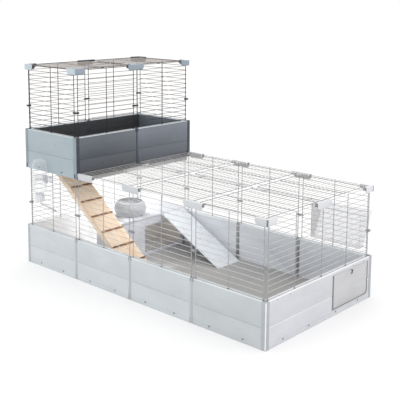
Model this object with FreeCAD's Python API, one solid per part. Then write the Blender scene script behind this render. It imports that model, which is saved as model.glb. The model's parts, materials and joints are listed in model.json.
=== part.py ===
import FreeCAD, Part
import math
import os
from FreeCAD import Vector

# A modular two-storey cage for small animals.
# Millimetres, +Z up. The origin is on the ground at the middle of the lower cage's footprint.
# +X runs along the long side, away from the upper unit. -Y is the long front side.

# Layout
pitch = 350.0
columns = 4
rows = 2
upper_columns = 1

# Base panels and posts
base_height = 182.0
panel_thickness = 24.0
post_width = 20.0
corner_width = 20.0
mitre_gap = 0.2
post_inset = 1.5
web_thickness = 7.0
inner_skin = 3.0
top_rail = 14.0
slot_roof = 2.7
skirt_height = 22.0
skirt_step = 0.8
plank_line_height = 82.0
plank_line_width = 3.0
plank_line_depth = 1.5
rim_bevel = 2.5
corner_round = 5.0
tongue_length = 5.0
tongue_thickness = 5.0
tongue_setback = 1.0
tongue_clearance = 0.3
lip_width = 8.0
lip_height = 3.0
fit_gap = 0.3

# Wire
wire_thick = 3.2
wire_thin = 2.4
roof_wire_thin = 1.8
weld_depth = 0.4
wall_wire_height = 300.0
wire_seat = 4.0
wire_slot_clearance = 0.6
edge_wire_inset = 11.0
wire_overhang = 2.0
wall_thin_count = 14
first_wire_height = 12.0
roof_thin_count = 16
roof_gap = 5.0
roof_drop = 2.0

# How far the upper unit drops over the walls below it
nest_depth = 21.0

# Floors
floor_thickness = 4.0
floor_sheets = 3
floor_gap = 0.5
floor_pad_radius = 20.0

# Top clips, wire ties and screws
clip_length = 98.0
clip_leg = 50.0
clip_drop = 22.0
clip_wall = 3.6
clip_chamfer = 9.0
clip_inner_drop = 12.0
clip_gap = 1.0
ledge_length = 14.0
ledge_thickness = 3.0
ledge_start = 18.0
ledge_span = 26.0
tie_overlap = 5.0
tie_height = 8.0
tie_depth = 9.0
tie_clearance = 0.3
hinge_tie_width = 6.0
hinge_tie_wall = 1.2
hinge_clearance = 0.35
screw_height = 14.0
screw_offset = 82.0
screw_head_radius = 3.5
screw_head_height = 2.2
screw_shank_radius = 1.5
screw_shank_length = 4.5
screw_cross = 0.9

# Cross rail under the open side of the upper unit
cross_rail_width = 20.0
cross_rail_height = 17.0
cross_rail_end_gap = 10.0
cross_rib_depth = 2.0
cross_rib_width = 6.0
cross_rib_count = 28

# Base door in the right end
door_hinge_offset = 75.0
door_width = 255.0
door_gap = 1.4
door_thickness = 6.0
door_recess = 0.4
door_corner = 14.0
hinge_slot = 9.0
barrel_radius = 4.0
door_pin_radius = 1.5
door_pin_clearance = 0.1
door_pin_half = 9.0
latch_from_hinge = 130.0
latch_drop = 16.0
knob_radius = 11.0
knob_height = 3.2
knob_gap = 0.3
knob_grip = 3.4
latch_shaft_radius = 3.0
latch_reach = 22.0
latch_width = 8.0
latch_thickness = 3.0

# Wooden ramp
ramp_angle = 37.5
ramp_width = 125.0
ramp_centre_from_front = 125.0
landing_length = 106.0
landing_gap = 16.0
hatch_side_gap = 1.5
hatch_end_margin = 23.0
ramp_pivot_drop = 12.0
stringer_width = 12.0
stringer_below = 13.0
stringer_above = 6.0
ramp_head = 13.0
deck_thickness = 7.0
rung_height = 5.0
rung_width = 8.0
rung_spacing = 90.0
first_rung = 26.0
pivot_rod_radius = 3.0
pivot_clearance = 0.1
lug_width = 6.0
lug_radius = 8.0

# House with its own ramp
house_depth = 162.0
house_width = 432.0
house_side_gap = 181.0
house_rear_gap = 17.0
house_roof_height = 200.0
house_roof_thickness = 8.0
house_wall = 4.0
house_roof_overhang = 4.0
doorway_rear_margin = 20.0
doorway_width = 245.0
doorway_height = 131.0
sill_height = 17.0
house_ramp_angle = 27.5
house_ramp_width = 150.0
house_ramp_margin = 10.0
house_ramp_thickness = 6.0
house_ramp_barrel = 5.0
house_ramp_pin = 3.0
house_lug_reach = 12.0
house_lug_width = 6.0
house_rib_spacing = 12.0
house_rib_height = 1.2
house_rib_width = 2.0

# Bowl on the house roof
bowl_base_radius = 56.0
bowl_belly_radius = 76.0
bowl_mouth_radius = 61.0
bowl_belly_height = 26.0
bowl_height = 70.0
bowl_wall = 3.5
bowl_from_roof_edge = 90.0
bowl_from_house_end = 149.0

# Drinking bottle outside the front wall
bottle_radius = 34.0
bottle_body_height = 116.0
bottle_dome_height = 22.0
bottle_dome_flat = 14.0
bottle_shoulder = 18.0
bottle_neck_radius = 17.0
bottle_neck_height = 16.0
bottle_wall = 1.6
bottle_from_left = 142.0
bottle_gap = 1.5
bottle_fit = 0.3
cap_wall = 4.5
cap_cover = 12.0
cap_depth = 20.0
cap_floor = 3.0
spout_radius = 4.0
spout_wall = 1.0
spout_angle = 31.0
spout_bend = 12.0
spout_lead = 3.0
spout_reach = 40.0
spout_wire_gap = 5
ball_clearance = 0.1
holder_height = 30.0
holder_rise = 62.0
holder_wall = 2.6
holder_plate = 3.0
holder_plate_half = 34.0
holder_neck_half = 12.0
holder_hook_half = 16.0

# Hay feeder outside the rear wall
feeder_length = 250.0
feeder_height = 153.0
feeder_top_depth = 95.0
feeder_bottom_depth = 26.0
feeder_wall = 2.5
feeder_off_centre = 5.5
feeder_rail = 8.0
feeder_end_rail = 5.0
feeder_hook_wire = 7
feeder_hook_spread = 170.0
hook_width = 10.0
hook_thickness = 2.4
hook_length = 6.0
hook_gap = 0.4

# Levels and lines worked out from the sizes above
half_thickness = panel_thickness / 2
half_post = post_width / 2
left_x = -columns * pitch / 2
right_x = columns * pitch / 2
front_y = -rows * pitch / 2
rear_y = rows * pitch / 2
upper_right_x = left_x + upper_columns * pitch
lower_top = base_height - wire_seat + wall_wire_height
upper_z = lower_top - nest_depth
upper_top = upper_z + lower_top
wall_out = wire_thick / 2 + wire_thin - weld_depth
wall_in = wire_thick / 2
slot_out = wall_out + wire_slot_clearance
slot_in = wall_in + wire_slot_clearance
nest_slot = nest_depth + fit_gap
bottom_rail = nest_slot + slot_roof
corner_inner = corner_width - half_thickness
face_y = -half_thickness + skirt_step
web_y = face_y + web_thickness
thin_offset = wire_thick / 2 + wire_thin / 2 - weld_depth
roof_margin = half_thickness + roof_gap
roof_half = pitch / 2 - roof_margin
floor_top = lip_height + floor_thickness
tongue_y = face_y + tongue_setback
thin_step = (wall_wire_height - wire_thin / 2 - first_wire_height) / (wall_thin_count - 1)
roof_step = 2 * roof_half / (roof_thin_count - 1)
tie_wire = wall_thin_count // 2 - 2


# Helpers

def box(x0, x1, y0, y1, z0, z1):
    return Part.makeBox(x1 - x0, y1 - y0, z1 - z0, Vector(x0, y0, z0))


def moved(shape, x=0.0, y=0.0, z=0.0, turn=0.0):
    copy = shape.copy()
    copy.rotate(Vector(0, 0, 0), Vector(0, 0, 1), turn)
    copy.translate(Vector(x, y, z))
    return copy


def prism(points, direction):
    closed = points + [points[0]]
    return Part.Face(Part.makePolygon(closed)).extrude(direction)


def joined(shapes):
    return shapes[0].multiFuse(shapes[1:]).removeSplitter()


def rod(start, end, diameter):
    # An eight-sided wire along one axis, with flats that face along the other two
    along = (end - start).normalize()
    if abs(along.x) > 0.5:
        first, second = Vector(0, 1, 0), Vector(0, 0, 1)
    elif abs(along.y) > 0.5:
        first, second = Vector(0, 0, 1), Vector(1, 0, 0)
    else:
        first, second = Vector(1, 0, 0), Vector(0, 1, 0)
    reach = diameter / 2 / math.cos(math.pi / 8)
    corners = []
    for k in range(8):
        angle = math.pi / 8 + k * math.pi / 4
        corners.append(start + first * (reach * math.cos(angle)) + second * (reach * math.sin(angle)))
    return prism(corners, end - start)


def write(name, shapes):
    if isinstance(shapes, list):
        shapes = Part.makeCompound(shapes)
    shapes.exportStep(os.path.join("parts", name + ".step"))


# Places of the walls: each is a side name, a number, a place, a turn and the kinds of its two ends.
# In a wall's own frame X runs along the wall and the outside is -Y.

def wall_ends(index, count):
    start = "corner" if index == 0 else "joint"
    end = "corner" if index == count - 1 else "joint"
    return start, end


def wall_places(x0, count_x):
    x1 = x0 + count_x * pitch
    places = []
    for i in range(count_x):
        places.append(("front", i + 1, x0 + (i + 0.5) * pitch, front_y, 0, wall_ends(i, count_x)))
    for j in range(rows):
        places.append(("right", j + 1, x1, front_y + (j + 0.5) * pitch, 90, wall_ends(j, rows)))
    for i in range(count_x):
        back = count_x - 1 - i
        places.append(("rear", i + 1, x0 + (i + 0.5) * pitch, rear_y, 180, wall_ends(back, count_x)))
    for j in range(rows):
        back = rows - 1 - j
        places.append(("left", j + 1, x0, front_y + (j + 0.5) * pitch, 270, wall_ends(back, rows)))
    return places


def joint_places(x0, count_x):
    x1 = x0 + count_x * pitch
    places = []
    for i in range(1, count_x):
        places.append((x0 + i * pitch, front_y, 0))
        places.append((x0 + i * pitch, rear_y, 180))
    for j in range(1, rows):
        places.append((x1, front_y + j * pitch, 90))
        places.append((x0, front_y + j * pitch, 270))
    return places


def corner_places(x0, count_x):
    x1 = x0 + count_x * pitch
    return [(x1, front_y, 0), (x1, rear_y, 90), (x0, rear_y, 180), (x0, front_y, 270)]


lower_walls = wall_places(left_x, columns)
upper_walls = wall_places(left_x, upper_columns)


# Base panels

def panel_profile():
    bottom_of_line = plank_line_height - plank_line_width / 2
    top_of_line = plank_line_height + plank_line_width / 2
    line_y = face_y + plank_line_depth
    seat_z = base_height - wire_seat
    under_rail = base_height - top_rail
    return [
        (-half_thickness, 0), (-half_thickness, skirt_height), (face_y, skirt_height),
        (face_y, bottom_of_line), (line_y, bottom_of_line), (line_y, top_of_line), (face_y, top_of_line),
        (face_y, base_height - rim_bevel), (face_y + rim_bevel, base_height),
        (-slot_out, base_height), (-slot_out, seat_z), (slot_in, seat_z), (slot_in, base_height),
        (half_thickness - rim_bevel, base_height), (half_thickness, base_height - rim_bevel),
        (half_thickness, under_rail), (web_y, under_rail), (web_y, bottom_rail),
        (half_thickness, bottom_rail), (half_thickness, 0),
        (slot_in, 0), (slot_in, nest_slot), (-slot_out, nest_slot), (-slot_out, 0),
    ]


def screw_hole(x):
    mouth = Vector(x, -half_thickness, screw_height)
    inward = Vector(0, 1, 0)
    head = screw_head_height - skirt_step / 2
    deep = head + screw_shank_length + fit_gap
    recess = Part.makeCylinder(screw_head_radius + fit_gap, head, mouth, inward)
    bore = Part.makeCylinder(screw_shank_radius + fit_gap / 2, deep, mouth, inward)
    return recess.fuse(bore)


def corner_mitre(x, side):
    """The wedge cut from the inner half of a panel that ends at x, where it meets the next wall's panel"""
    depth = half_thickness - corner_inner + mitre_gap
    points = [
        Vector(x + side, corner_inner - mitre_gap - 1, 0),
        Vector(x - side * depth, half_thickness, 0),
        Vector(x + side, half_thickness, 0),
    ]
    return prism(points, Vector(0, 0, base_height))


def base_panel(middles, ends, screws, hollow=True):
    """A panel that reaches from one post to the next; a hollow one has a smooth inner skin"""
    inset = {"corner": corner_inner, "joint": half_post}
    x0 = -middles + inset[ends[0]]
    x1 = middles - inset[ends[1]]
    panel = prism([Vector(x0, y, z) for y, z in panel_profile()], Vector(x1 - x0, 0, 0))
    under_rim = base_height - top_rail
    if hollow:
        panel = panel.fuse(box(x0, x1, half_thickness - inner_skin, half_thickness, bottom_rail, under_rim))
    lip_half = middles - half_thickness - lip_width - fit_gap
    pieces = [panel, box(-lip_half, lip_half, half_thickness, half_thickness + lip_width, 0, lip_height)]
    tongue_back = tongue_y + tongue_thickness
    for x in (x0 - tongue_length, x1):
        pieces.append(box(x, x + tongue_length, tongue_y, tongue_back, bottom_rail, under_rim))
    cuts = [screw_hole(x) for x in screws]
    for x, side, kind in ((x0, -1, ends[0]), (x1, 1, ends[1])):
        if kind == "corner":
            cuts.append(corner_mitre(x, side))
    return joined(pieces).cut(cuts)


def tongue_groove(x0, x1):
    y0 = tongue_y - tongue_clearance
    return box(x0, x1, y0, y0 + tongue_thickness + 2 * tongue_clearance, bottom_rail - fit_gap, base_height)


def joint_post(with_slot):
    post = box(-half_post, half_post, -half_thickness + post_inset, half_thickness, 0, base_height)
    groove_depth = tongue_length + fit_gap
    cuts = [
        tongue_groove(-half_post, -half_post + groove_depth),
        tongue_groove(half_post - groove_depth, half_post),
        box(-half_post, half_post, -slot_out, slot_in, base_height - wire_seat, base_height),
    ]
    if with_slot:
        cuts.append(box(-half_post, half_post, -slot_out, slot_in, 0, nest_slot))
    return post.cut(cuts)


def corner_post(with_slot):
    # Walls run off towards -X and +Y; the outer faces look to -Y and +X
    post = box(-corner_inner, half_thickness, -half_thickness, corner_inner, 0, base_height)
    outer = [e for e in post.Edges if abs(e.CenterOfMass.x - half_thickness) < 0.01
             and abs(e.CenterOfMass.y + half_thickness) < 0.01]
    post = post.makeFillet(corner_round, outer)
    groove_depth = tongue_length + fit_gap
    seat_z = base_height - wire_seat
    cuts = [
        tongue_groove(-corner_inner, -corner_inner + groove_depth),
        moved(tongue_groove(corner_inner - groove_depth, corner_inner), turn=90),
        box(-corner_inner, slot_out, -slot_out, slot_in, seat_z, base_height),
        box(-slot_in, slot_out, -slot_out, corner_inner, seat_z, base_height),
    ]
    if with_slot:
        cuts.append(box(-corner_inner, half_thickness, -slot_out, slot_in, 0, nest_slot))
        cuts.append(box(-slot_in, slot_out, -half_thickness, corner_inner, 0, nest_slot))
    return post.cut(cuts)


def screw():
    front = -half_thickness - skirt_step / 2
    head = Part.makeCylinder(screw_head_radius, screw_head_height, Vector(0, front, 0), Vector(0, 1, 0))
    shank = Part.makeCylinder(screw_shank_radius, screw_head_height + screw_shank_length, Vector(0, front, 0),
                              Vector(0, 1, 0))
    reach = screw_head_radius * 0.6
    depth = front + screw_head_height / 2
    cross = [
        box(-reach, reach, front, depth, -screw_cross / 2, screw_cross / 2),
        box(-screw_cross / 2, screw_cross / 2, front, depth, -reach, reach),
    ]
    return head.fuse(shank).cut(cross)


# Wire panels

def wall_grid(modules):
    """A panel of wire that is one or more modules wide, with an upright at each end and each half module"""
    edge = modules * pitch / 2 - edge_wire_inset
    uprights = [-edge] + [(k - modules) * pitch / 2 for k in range(1, 2 * modules)] + [edge]
    rods = [rod(Vector(x, 0, 0), Vector(x, 0, wall_wire_height), wire_thick) for x in uprights]
    end = edge + wire_thick / 2 + wire_overhang / 2
    for k in range(wall_thin_count):
        z = first_wire_height + k * thin_step
        rods.append(rod(Vector(-end, -thin_offset, z), Vector(end, -thin_offset, z), wire_thin))
    return rods[0].multiFuse(rods[1:])


def roof_grid():
    end = roof_half + wire_overhang
    rods = [rod(Vector(-end, y, 0), Vector(end, y, 0), wire_thick) for y in (-roof_half, 0, roof_half)]
    for k in range(roof_thin_count):
        x = -roof_half + k * roof_step
        # The two outer cross wires are as thick as the long ones
        size = wire_thick if k in (0, roof_thin_count - 1) else roof_wire_thin
        z = wire_thick / 2 + size / 2 - weld_depth
        rods.append(rod(Vector(x, -end, z), Vector(x, end, z), size))
    return rods[0].multiFuse(rods[1:])


def thin_wire_z(k):
    # Height of a wall panel's thin wire above the bottom of its base
    return base_height - wire_seat + first_wire_height + k * thin_step


# Ties between the edge wires of neighbouring wall panels

def tie_slot():
    reach = wire_thick / 2 + tie_clearance
    return box(-reach, reach, -tie_depth, reach, -tie_height, tie_height)


def joint_tie():
    half = edge_wire_inset + tie_overlap
    body = box(-half, half, -tie_depth / 2, tie_depth / 2, -tie_height / 2, tie_height / 2)
    return body.cut([moved(tie_slot(), x=x) for x in (-edge_wire_inset, edge_wire_inset)])


def corner_tie():
    half = edge_wire_inset + tie_overlap
    deep = tie_depth / 2
    leg = box(-half, deep, -deep, deep, -tie_height / 2, tie_height / 2)
    other = box(-deep, deep, -deep, half, -tie_height / 2, tie_height / 2)
    slots = [moved(tie_slot(), x=-edge_wire_inset), moved(tie_slot(), y=edge_wire_inset, turn=90)]
    return joined([leg, other]).cut(slots)


# Clips over the top wires, which also carry the roof panels on small ledges

clip_top = fit_gap + clip_wall
clip_out = slot_out + clip_wall
clip_in = slot_in + clip_wall
ledge_z = -roof_drop - wire_thick / 2 - fit_gap


def clip_ledge(x0):
    return box(x0, x0 + ledge_span, slot_in, clip_in + ledge_length, ledge_z - ledge_thickness, ledge_z)


def clip_slot(x0, x1):
    return box(x0, x1, -slot_out, slot_in, -clip_drop, fit_gap)


def clip_inner_cut(x0, x1):
    return box(x0, x1, slot_in, clip_in, -clip_drop, -clip_inner_drop)


def joint_clip():
    half = clip_length / 2
    low = half - clip_chamfer
    outline = [
        (-half, clip_top), (half, clip_top), (half, clip_chamfer - clip_drop), (low, -clip_drop),
        (-low, -clip_drop), (-half, clip_chamfer - clip_drop),
    ]
    body = prism([Vector(x, -clip_out, z) for x, z in outline], Vector(0, clip_out + clip_in, 0))
    body = body.cut([clip_slot(-half, half), clip_inner_cut(-half, half)])
    return joined([body, clip_ledge(ledge_start), clip_ledge(-ledge_start - ledge_span)])


def corner_clip():
    low = clip_leg - clip_chamfer
    outline = [
        (-clip_leg, clip_top), (clip_out, clip_top), (clip_out, -clip_drop), (-low, -clip_drop),
        (-clip_leg, clip_chamfer - clip_drop),
    ]
    leg = prism([Vector(x, -clip_out, z) for x, z in outline], Vector(0, clip_out + clip_in, 0))
    other = prism([Vector(-clip_in, -x, z) for x, z in outline], Vector(clip_out + clip_in, 0, 0))
    body = joined([leg, other])
    cuts = [
        clip_slot(-clip_leg, slot_out),
        box(-slot_in, slot_out, -slot_out, clip_leg, -clip_drop, fit_gap),
        clip_inner_cut(-clip_leg, -clip_in),
        box(-clip_in, -slot_in, clip_in, clip_leg, -clip_drop, -clip_inner_drop),
        box(-clip_in, -slot_in, slot_in, clip_in, -clip_drop, -clip_inner_drop),
    ]
    first = clip_ledge(-ledge_start - ledge_span)
    second = moved(clip_ledge(ledge_start), turn=90)
    return joined([body.cut(cuts), first, second])


# Hinge ties between a roof flap and the fixed panel behind it

def hinge_tie():
    reach = wire_thick / 2 / math.cos(math.pi / 8) + hinge_clearance
    half = roof_margin + reach + hinge_tie_wall
    tall = reach + hinge_tie_wall
    bar = box(-hinge_tie_width / 2, hinge_tie_width / 2, -half, half, -tall, tall)
    bores = []
    for y in (-roof_margin, roof_margin):
        start = Vector(-hinge_tie_width / 2, y, 0)
        bores.append(Part.makeCylinder(reach, hinge_tie_width, start, Vector(1, 0, 0)))
    return bar.cut(bores)


# Cross rail with its ribs

def cross_rail():
    half = rear_y - cross_rail_end_gap
    rib_half = cross_rail_width / 2
    core_half = rib_half - cross_rib_depth
    core = box(-core_half, core_half, -half, half, -cross_rail_height, 0)
    step = (2 * half - cross_rib_width) / (cross_rib_count - 1)
    ribs = []
    for k in range(cross_rib_count):
        y = -half + k * step
        ribs.append(box(-rib_half, rib_half, y, y + cross_rib_width, -cross_rail_height, 0))
    return joined([core] + ribs)


# Floors

def lower_floor():
    x0 = left_x + half_thickness + floor_gap
    y0 = front_y + half_thickness + floor_gap
    width = -2 * x0 / floor_sheets
    sheets = []
    for i in range(floor_sheets):
        a = x0 + i * width + (floor_gap / 2 if i else 0)
        b = x0 + (i + 1) * width - (floor_gap / 2 if i < floor_sheets - 1 else 0)
        sheet = box(a, b, y0, -y0, lip_height, floor_top)
        pads = []
        for share in (0.25, 0.5, 0.75):
            for y in (-pitch / 2, 0, pitch / 2):
                centre = Vector(a + (b - a) * share, y, 0)
                pads.append(Part.makeCylinder(floor_pad_radius, lip_height, centre))
        sheets.append(joined([sheet] + pads))
    return sheets


ramp_y = front_y + ramp_centre_from_front
hatch_x0 = left_x + landing_length
hatch_x1 = upper_right_x - half_thickness - hatch_end_margin
ramp_x = hatch_x0 + landing_gap
ramp_z = upper_z - ramp_pivot_drop
hatch_half = ramp_width / 2 + hatch_side_gap


def upper_floor(front):
    x0 = left_x + half_thickness + floor_gap
    x1 = upper_right_x - half_thickness - floor_gap
    z0 = upper_z + lip_height
    z1 = upper_z + floor_top
    outer = half_thickness + floor_gap
    if not front:
        return box(x0, x1, floor_gap / 2, rear_y - outer, z0, z1)
    plate = box(x0, x1, front_y + outer, -floor_gap / 2, z0, z1)
    plate = plate.cut(box(hatch_x0, hatch_x1, ramp_y - hatch_half, ramp_y + hatch_half, z0, z1))
    lugs = []
    for y in (ramp_y - hatch_half - lug_width, ramp_y + hatch_half):
        lug = box(ramp_x - lug_radius, ramp_x + lug_radius, y, y + lug_width, ramp_z, z0)
        tip = Part.makeCylinder(lug_radius, lug_width, Vector(ramp_x, y, ramp_z), Vector(0, 1, 0))
        bore = Part.makeCylinder(pivot_rod_radius + pivot_clearance, lug_width, Vector(ramp_x, y, ramp_z),
                                 Vector(0, 1, 0))
        lugs.append(joined([lug, tip]).cut(bore))
    return joined([plate] + lugs)


# Base door, with its frame panel, pins and latch, in the frame of its wall

door_x0 = door_hinge_offset
door_x1 = door_x0 + door_width
latch_offset = door_x0 + latch_from_hinge
door_z0 = bottom_rail + door_gap
door_z1 = base_height - top_rail - door_gap
door_y0 = face_y + door_recess
door_y1 = door_y0 + door_thickness
door_axis_y = (door_y0 + door_y1) / 2
latch_z = door_z1 - latch_drop
knob_pocket = knob_height + knob_gap


def rounded_plate(x0, x1, y0, y1, z0, z1, radius):
    # A plate with its lower right corner rounded
    mid = radius * (1 - math.sqrt(0.5))
    arc = Part.Arc(Vector(x1 - radius, y0, z0), Vector(x1 - mid, y0, z0 + mid), Vector(x1, y0, z0 + radius))
    corners = [Vector(x1, y0, z0 + radius), Vector(x1, y0, z1), Vector(x0, y0, z1), Vector(x0, y0, z0),
               Vector(x1 - radius, y0, z0)]
    edges = [Part.makeLine(a, b) for a, b in zip(corners, corners[1:])]
    return Part.Face(Part.Wire(edges + [arc.toShape()])).extrude(Vector(0, y1 - y0, 0))


def door_pin_hole(z, depth, radius):
    return Part.makeCylinder(radius, depth, Vector(door_x0, door_axis_y, z))


def door_frame():
    opening = rounded_plate(door_x0 - hinge_slot, door_x1 + door_gap, -half_thickness, web_y, bottom_rail,
                            base_height - top_rail, door_corner + door_gap)
    radius = door_pin_radius + door_pin_clearance
    deep = door_pin_half + fit_gap
    reach = math.hypot(latch_reach, latch_width / 2) + fit_gap
    half = math.sqrt(reach ** 2 - (latch_drop + door_gap) ** 2)
    tongue_y0 = door_y1 + knob_gap
    pocket = box(latch_offset - half, latch_offset + half, tongue_y0 - knob_gap,
                 tongue_y0 + latch_thickness + knob_gap, base_height - top_rail, latch_z + reach)
    screws = [side * pitch / 2 + offset for side in (-1, 1) for offset in (-screw_offset, screw_offset)]
    return base_panel(pitch, ("corner", "corner"), screws, False).cut([
        opening, pocket,
        door_pin_hole(base_height - top_rail, deep, radius),
        door_pin_hole(bottom_rail - deep, deep, radius),
    ])


def door_panel():
    plate = rounded_plate(door_x0, door_x1, door_y0, door_y1, door_z0, door_z1, door_corner)
    barrel = Part.makeCylinder(barrel_radius, door_z1 - door_z0, Vector(door_x0, door_axis_y, door_z0))
    radius = door_pin_radius + door_pin_clearance
    deep = door_pin_half + fit_gap
    inward = Vector(0, 1, 0)
    latch_centre = Vector(latch_offset, door_y0, latch_z)
    pocket = Part.makeCylinder(knob_radius + knob_gap, knob_pocket, latch_centre, inward)
    shaft = Part.makeCylinder(latch_shaft_radius + knob_gap, door_thickness, latch_centre, inward)
    return joined([plate, barrel]).cut([
        pocket, shaft,
        door_pin_hole(door_z1 - deep, deep, radius),
        door_pin_hole(door_z0, deep, radius),
    ])


def door_pins():
    length = 2 * door_pin_half
    low = bottom_rail + door_gap / 2 - door_pin_half
    high = base_height - top_rail - door_gap / 2 - door_pin_half
    return [Part.makeCylinder(door_pin_radius, length, Vector(door_x0, door_axis_y, z)) for z in (low, high)]


def door_latch():
    inward = Vector(0, 1, 0)
    centre = Vector(latch_offset, door_y0, latch_z)
    disc = Part.makeCylinder(knob_radius, knob_height, centre, inward)
    hollow = Part.makeCylinder(knob_radius * 0.75, knob_height / 2, centre, inward)
    grip = box(latch_offset - knob_radius, latch_offset + knob_radius, door_y0, door_y0 + knob_height,
               latch_z - knob_grip / 2, latch_z + knob_grip / 2)
    shaft_length = door_thickness - knob_height + knob_gap
    shaft = Part.makeCylinder(latch_shaft_radius, shaft_length, centre + inward * knob_height, inward)
    y0 = door_y1 + knob_gap
    tongue = box(latch_offset - latch_width / 2, latch_offset + latch_reach, y0, y0 + latch_thickness,
                 latch_z - latch_width / 2, latch_z + latch_width / 2)
    return joined([disc.cut(hollow.cut(grip)), shaft, tongue])


# Wooden ramp: modelled along +X from its pivot, then tilted down and trimmed on the lower floor

def tilted(shape, angle, x, y, z):
    copy = shape.copy()
    copy.rotate(Vector(0, 0, 0), Vector(0, 1, 0), angle)
    copy.translate(Vector(x, y, z))
    return copy


def trimmed(shape):
    ground = box(left_x, right_x, front_y, rear_y, -base_height, floor_top + fit_gap)
    return shape.cut(ground)


ramp_length = (ramp_z - floor_top) / math.sin(math.radians(ramp_angle))


def ramp_piece(shape):
    return trimmed(tilted(shape, ramp_angle, ramp_x, ramp_y, ramp_z))


def ramp_deck():
    end = ramp_length + stringer_below
    half = ramp_width / 2
    return ramp_piece(box(-ramp_head, end, -half, half, stringer_above, stringer_above + deck_thickness))


def ramp_stringers():
    pieces = []
    for y in (-ramp_width / 2, ramp_width / 2 - stringer_width):
        end = ramp_length + stringer_below
        bar = box(-ramp_head, end, y, y + stringer_width, -stringer_below, stringer_above)
        radius = pivot_rod_radius + pivot_clearance
        bore = Part.makeCylinder(radius, stringer_width, Vector(0, y, 0), Vector(0, 1, 0))
        pieces.append(ramp_piece(bar.cut(bore)))
    return pieces


def ramp_rungs():
    rungs = []
    low = stringer_above + deck_thickness
    count = int((ramp_length - first_rung - rung_width) // rung_spacing) + 1
    for k in range(count):
        x = first_rung + k * rung_spacing
        bar = box(x, x + rung_width, -ramp_width / 2, ramp_width / 2, low, low + rung_height)
        rungs.append(tilted(bar, ramp_angle, ramp_x, ramp_y, ramp_z))
    return rungs


def ramp_pivot_rod():
    half = hatch_half + lug_width
    start = Vector(ramp_x, ramp_y - half, ramp_z)
    return Part.makeCylinder(pivot_rod_radius, 2 * half, start, Vector(0, 1, 0))


# House: one moulded shell of four walls, a loose roof, and a ribbed ramp that hangs on the roof

house_x0 = left_x + half_thickness + house_side_gap
house_x1 = house_x0 + house_depth
house_y1 = rear_y - half_thickness - house_rear_gap
house_y0 = house_y1 - house_width
house_ceiling = house_roof_height - house_roof_thickness
roof_edge_x = house_x1 + house_roof_overhang
house_pivot_x = roof_edge_x + house_lug_reach / 2
house_pivot_z = house_roof_height - house_lug_reach / 2
house_ramp_y1 = house_y1 + house_roof_overhang - house_ramp_margin
house_ramp_y0 = house_ramp_y1 - house_ramp_width


def house_walls():
    outer = box(house_x0, house_x1, house_y0, house_y1, floor_top, house_ceiling)
    inner = box(house_x0 + house_wall, house_x1 - house_wall, house_y0 + house_wall, house_y1 - house_wall,
                floor_top, house_ceiling)
    y1 = house_y1 - doorway_rear_margin
    sill = floor_top + sill_height
    doorway = box(house_x1 - house_wall, house_x1, y1 - doorway_width, y1, sill, sill + doorway_height)
    return outer.cut([inner, doorway])


def house_roof():
    over = house_roof_overhang
    plate = box(house_x0 - over, roof_edge_x, house_y0 - over, house_y1 + over,
                house_ceiling, house_roof_height)
    lugs = []
    gap = fit_gap * 3
    for y in (house_ramp_y0 - gap - house_lug_width, house_ramp_y1 + gap):
        lug = box(roof_edge_x, roof_edge_x + house_lug_reach, y, y + house_lug_width,
                  house_roof_height - house_lug_reach, house_roof_height)
        bore = Part.makeCylinder(house_ramp_pin + pivot_clearance, house_lug_width,
                                 Vector(house_pivot_x, y, house_pivot_z), Vector(0, 1, 0))
        lugs.append(lug.cut(bore))
    return joined([plate] + lugs)


def house_ramp():
    length = (house_pivot_z - floor_top) / math.sin(math.radians(house_ramp_angle))
    half = house_ramp_width / 2
    thick = house_ramp_thickness / 2
    plate = box(0, length + house_ramp_barrel, -half, half, -thick, thick)
    barrel = Part.makeCylinder(house_ramp_barrel, house_ramp_width, Vector(0, -half, 0), Vector(0, 1, 0))
    pin_half = half + fit_gap * 3 + house_lug_width
    pin = Part.makeCylinder(house_ramp_pin, 2 * pin_half, Vector(0, -pin_half, 0), Vector(0, 1, 0))
    ribs = []
    count = int((length - 3 * house_rib_spacing) // house_rib_spacing)
    for k in range(1, count + 1):
        x = k * house_rib_spacing
        ribs.append(box(x, x + house_rib_width, -half, half, thick, thick + house_rib_height))
    whole = joined([plate, barrel, pin] + ribs)
    middle_y = (house_ramp_y0 + house_ramp_y1) / 2
    return trimmed(tilted(whole, house_ramp_angle, house_pivot_x, middle_y, house_pivot_z))


# Bowl, turned from a bellied section

def turned(points):
    return Part.Face(Part.Wire(points)).revolve(Vector(0, 0, 0), Vector(0, 0, 1), 360)


def bowl():
    axis_low = Vector(0, 0, 0)
    base = Vector(bowl_base_radius, 0, 0)
    belly = Vector(bowl_belly_radius, 0, bowl_belly_height)
    mouth = Vector(bowl_mouth_radius, 0, bowl_height)
    inner_mouth = Vector(bowl_mouth_radius - bowl_wall, 0, bowl_height)
    inner_belly = Vector(bowl_belly_radius - bowl_wall, 0, bowl_belly_height)
    inner_base = Vector(bowl_base_radius - bowl_wall, 0, bowl_wall)
    axis_high = Vector(0, 0, bowl_wall)
    section = [
        Part.makeLine(axis_low, base),
        Part.Arc(base, belly, mouth).toShape(),
        Part.makeLine(mouth, inner_mouth),
        Part.Arc(inner_mouth, inner_belly, inner_base).toShape(),
        Part.makeLine(inner_base, axis_high),
        Part.makeLine(axis_high, axis_low),
    ]
    x = roof_edge_x - bowl_from_roof_edge
    y = house_y0 + bowl_from_house_end
    return moved(turned(section), x, y, house_roof_height + fit_gap)


# Drinking bottle, upside down, with cap, spout and ball

bottle_x = left_x + bottle_from_left
bottle_y = front_y - half_thickness - bottle_gap - bottle_radius
spout_z = thin_wire_z(spout_wire_gap - 0.5)
spout_slope = math.tan(math.radians(spout_angle))
spout_turn_z = spout_z + (front_y - bottle_y) * spout_slope
spout_tangent = spout_bend * math.tan(math.radians(90 - spout_angle) / 2)
cap_z = spout_turn_z + spout_tangent + spout_lead
neck_z = cap_z + cap_depth


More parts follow.
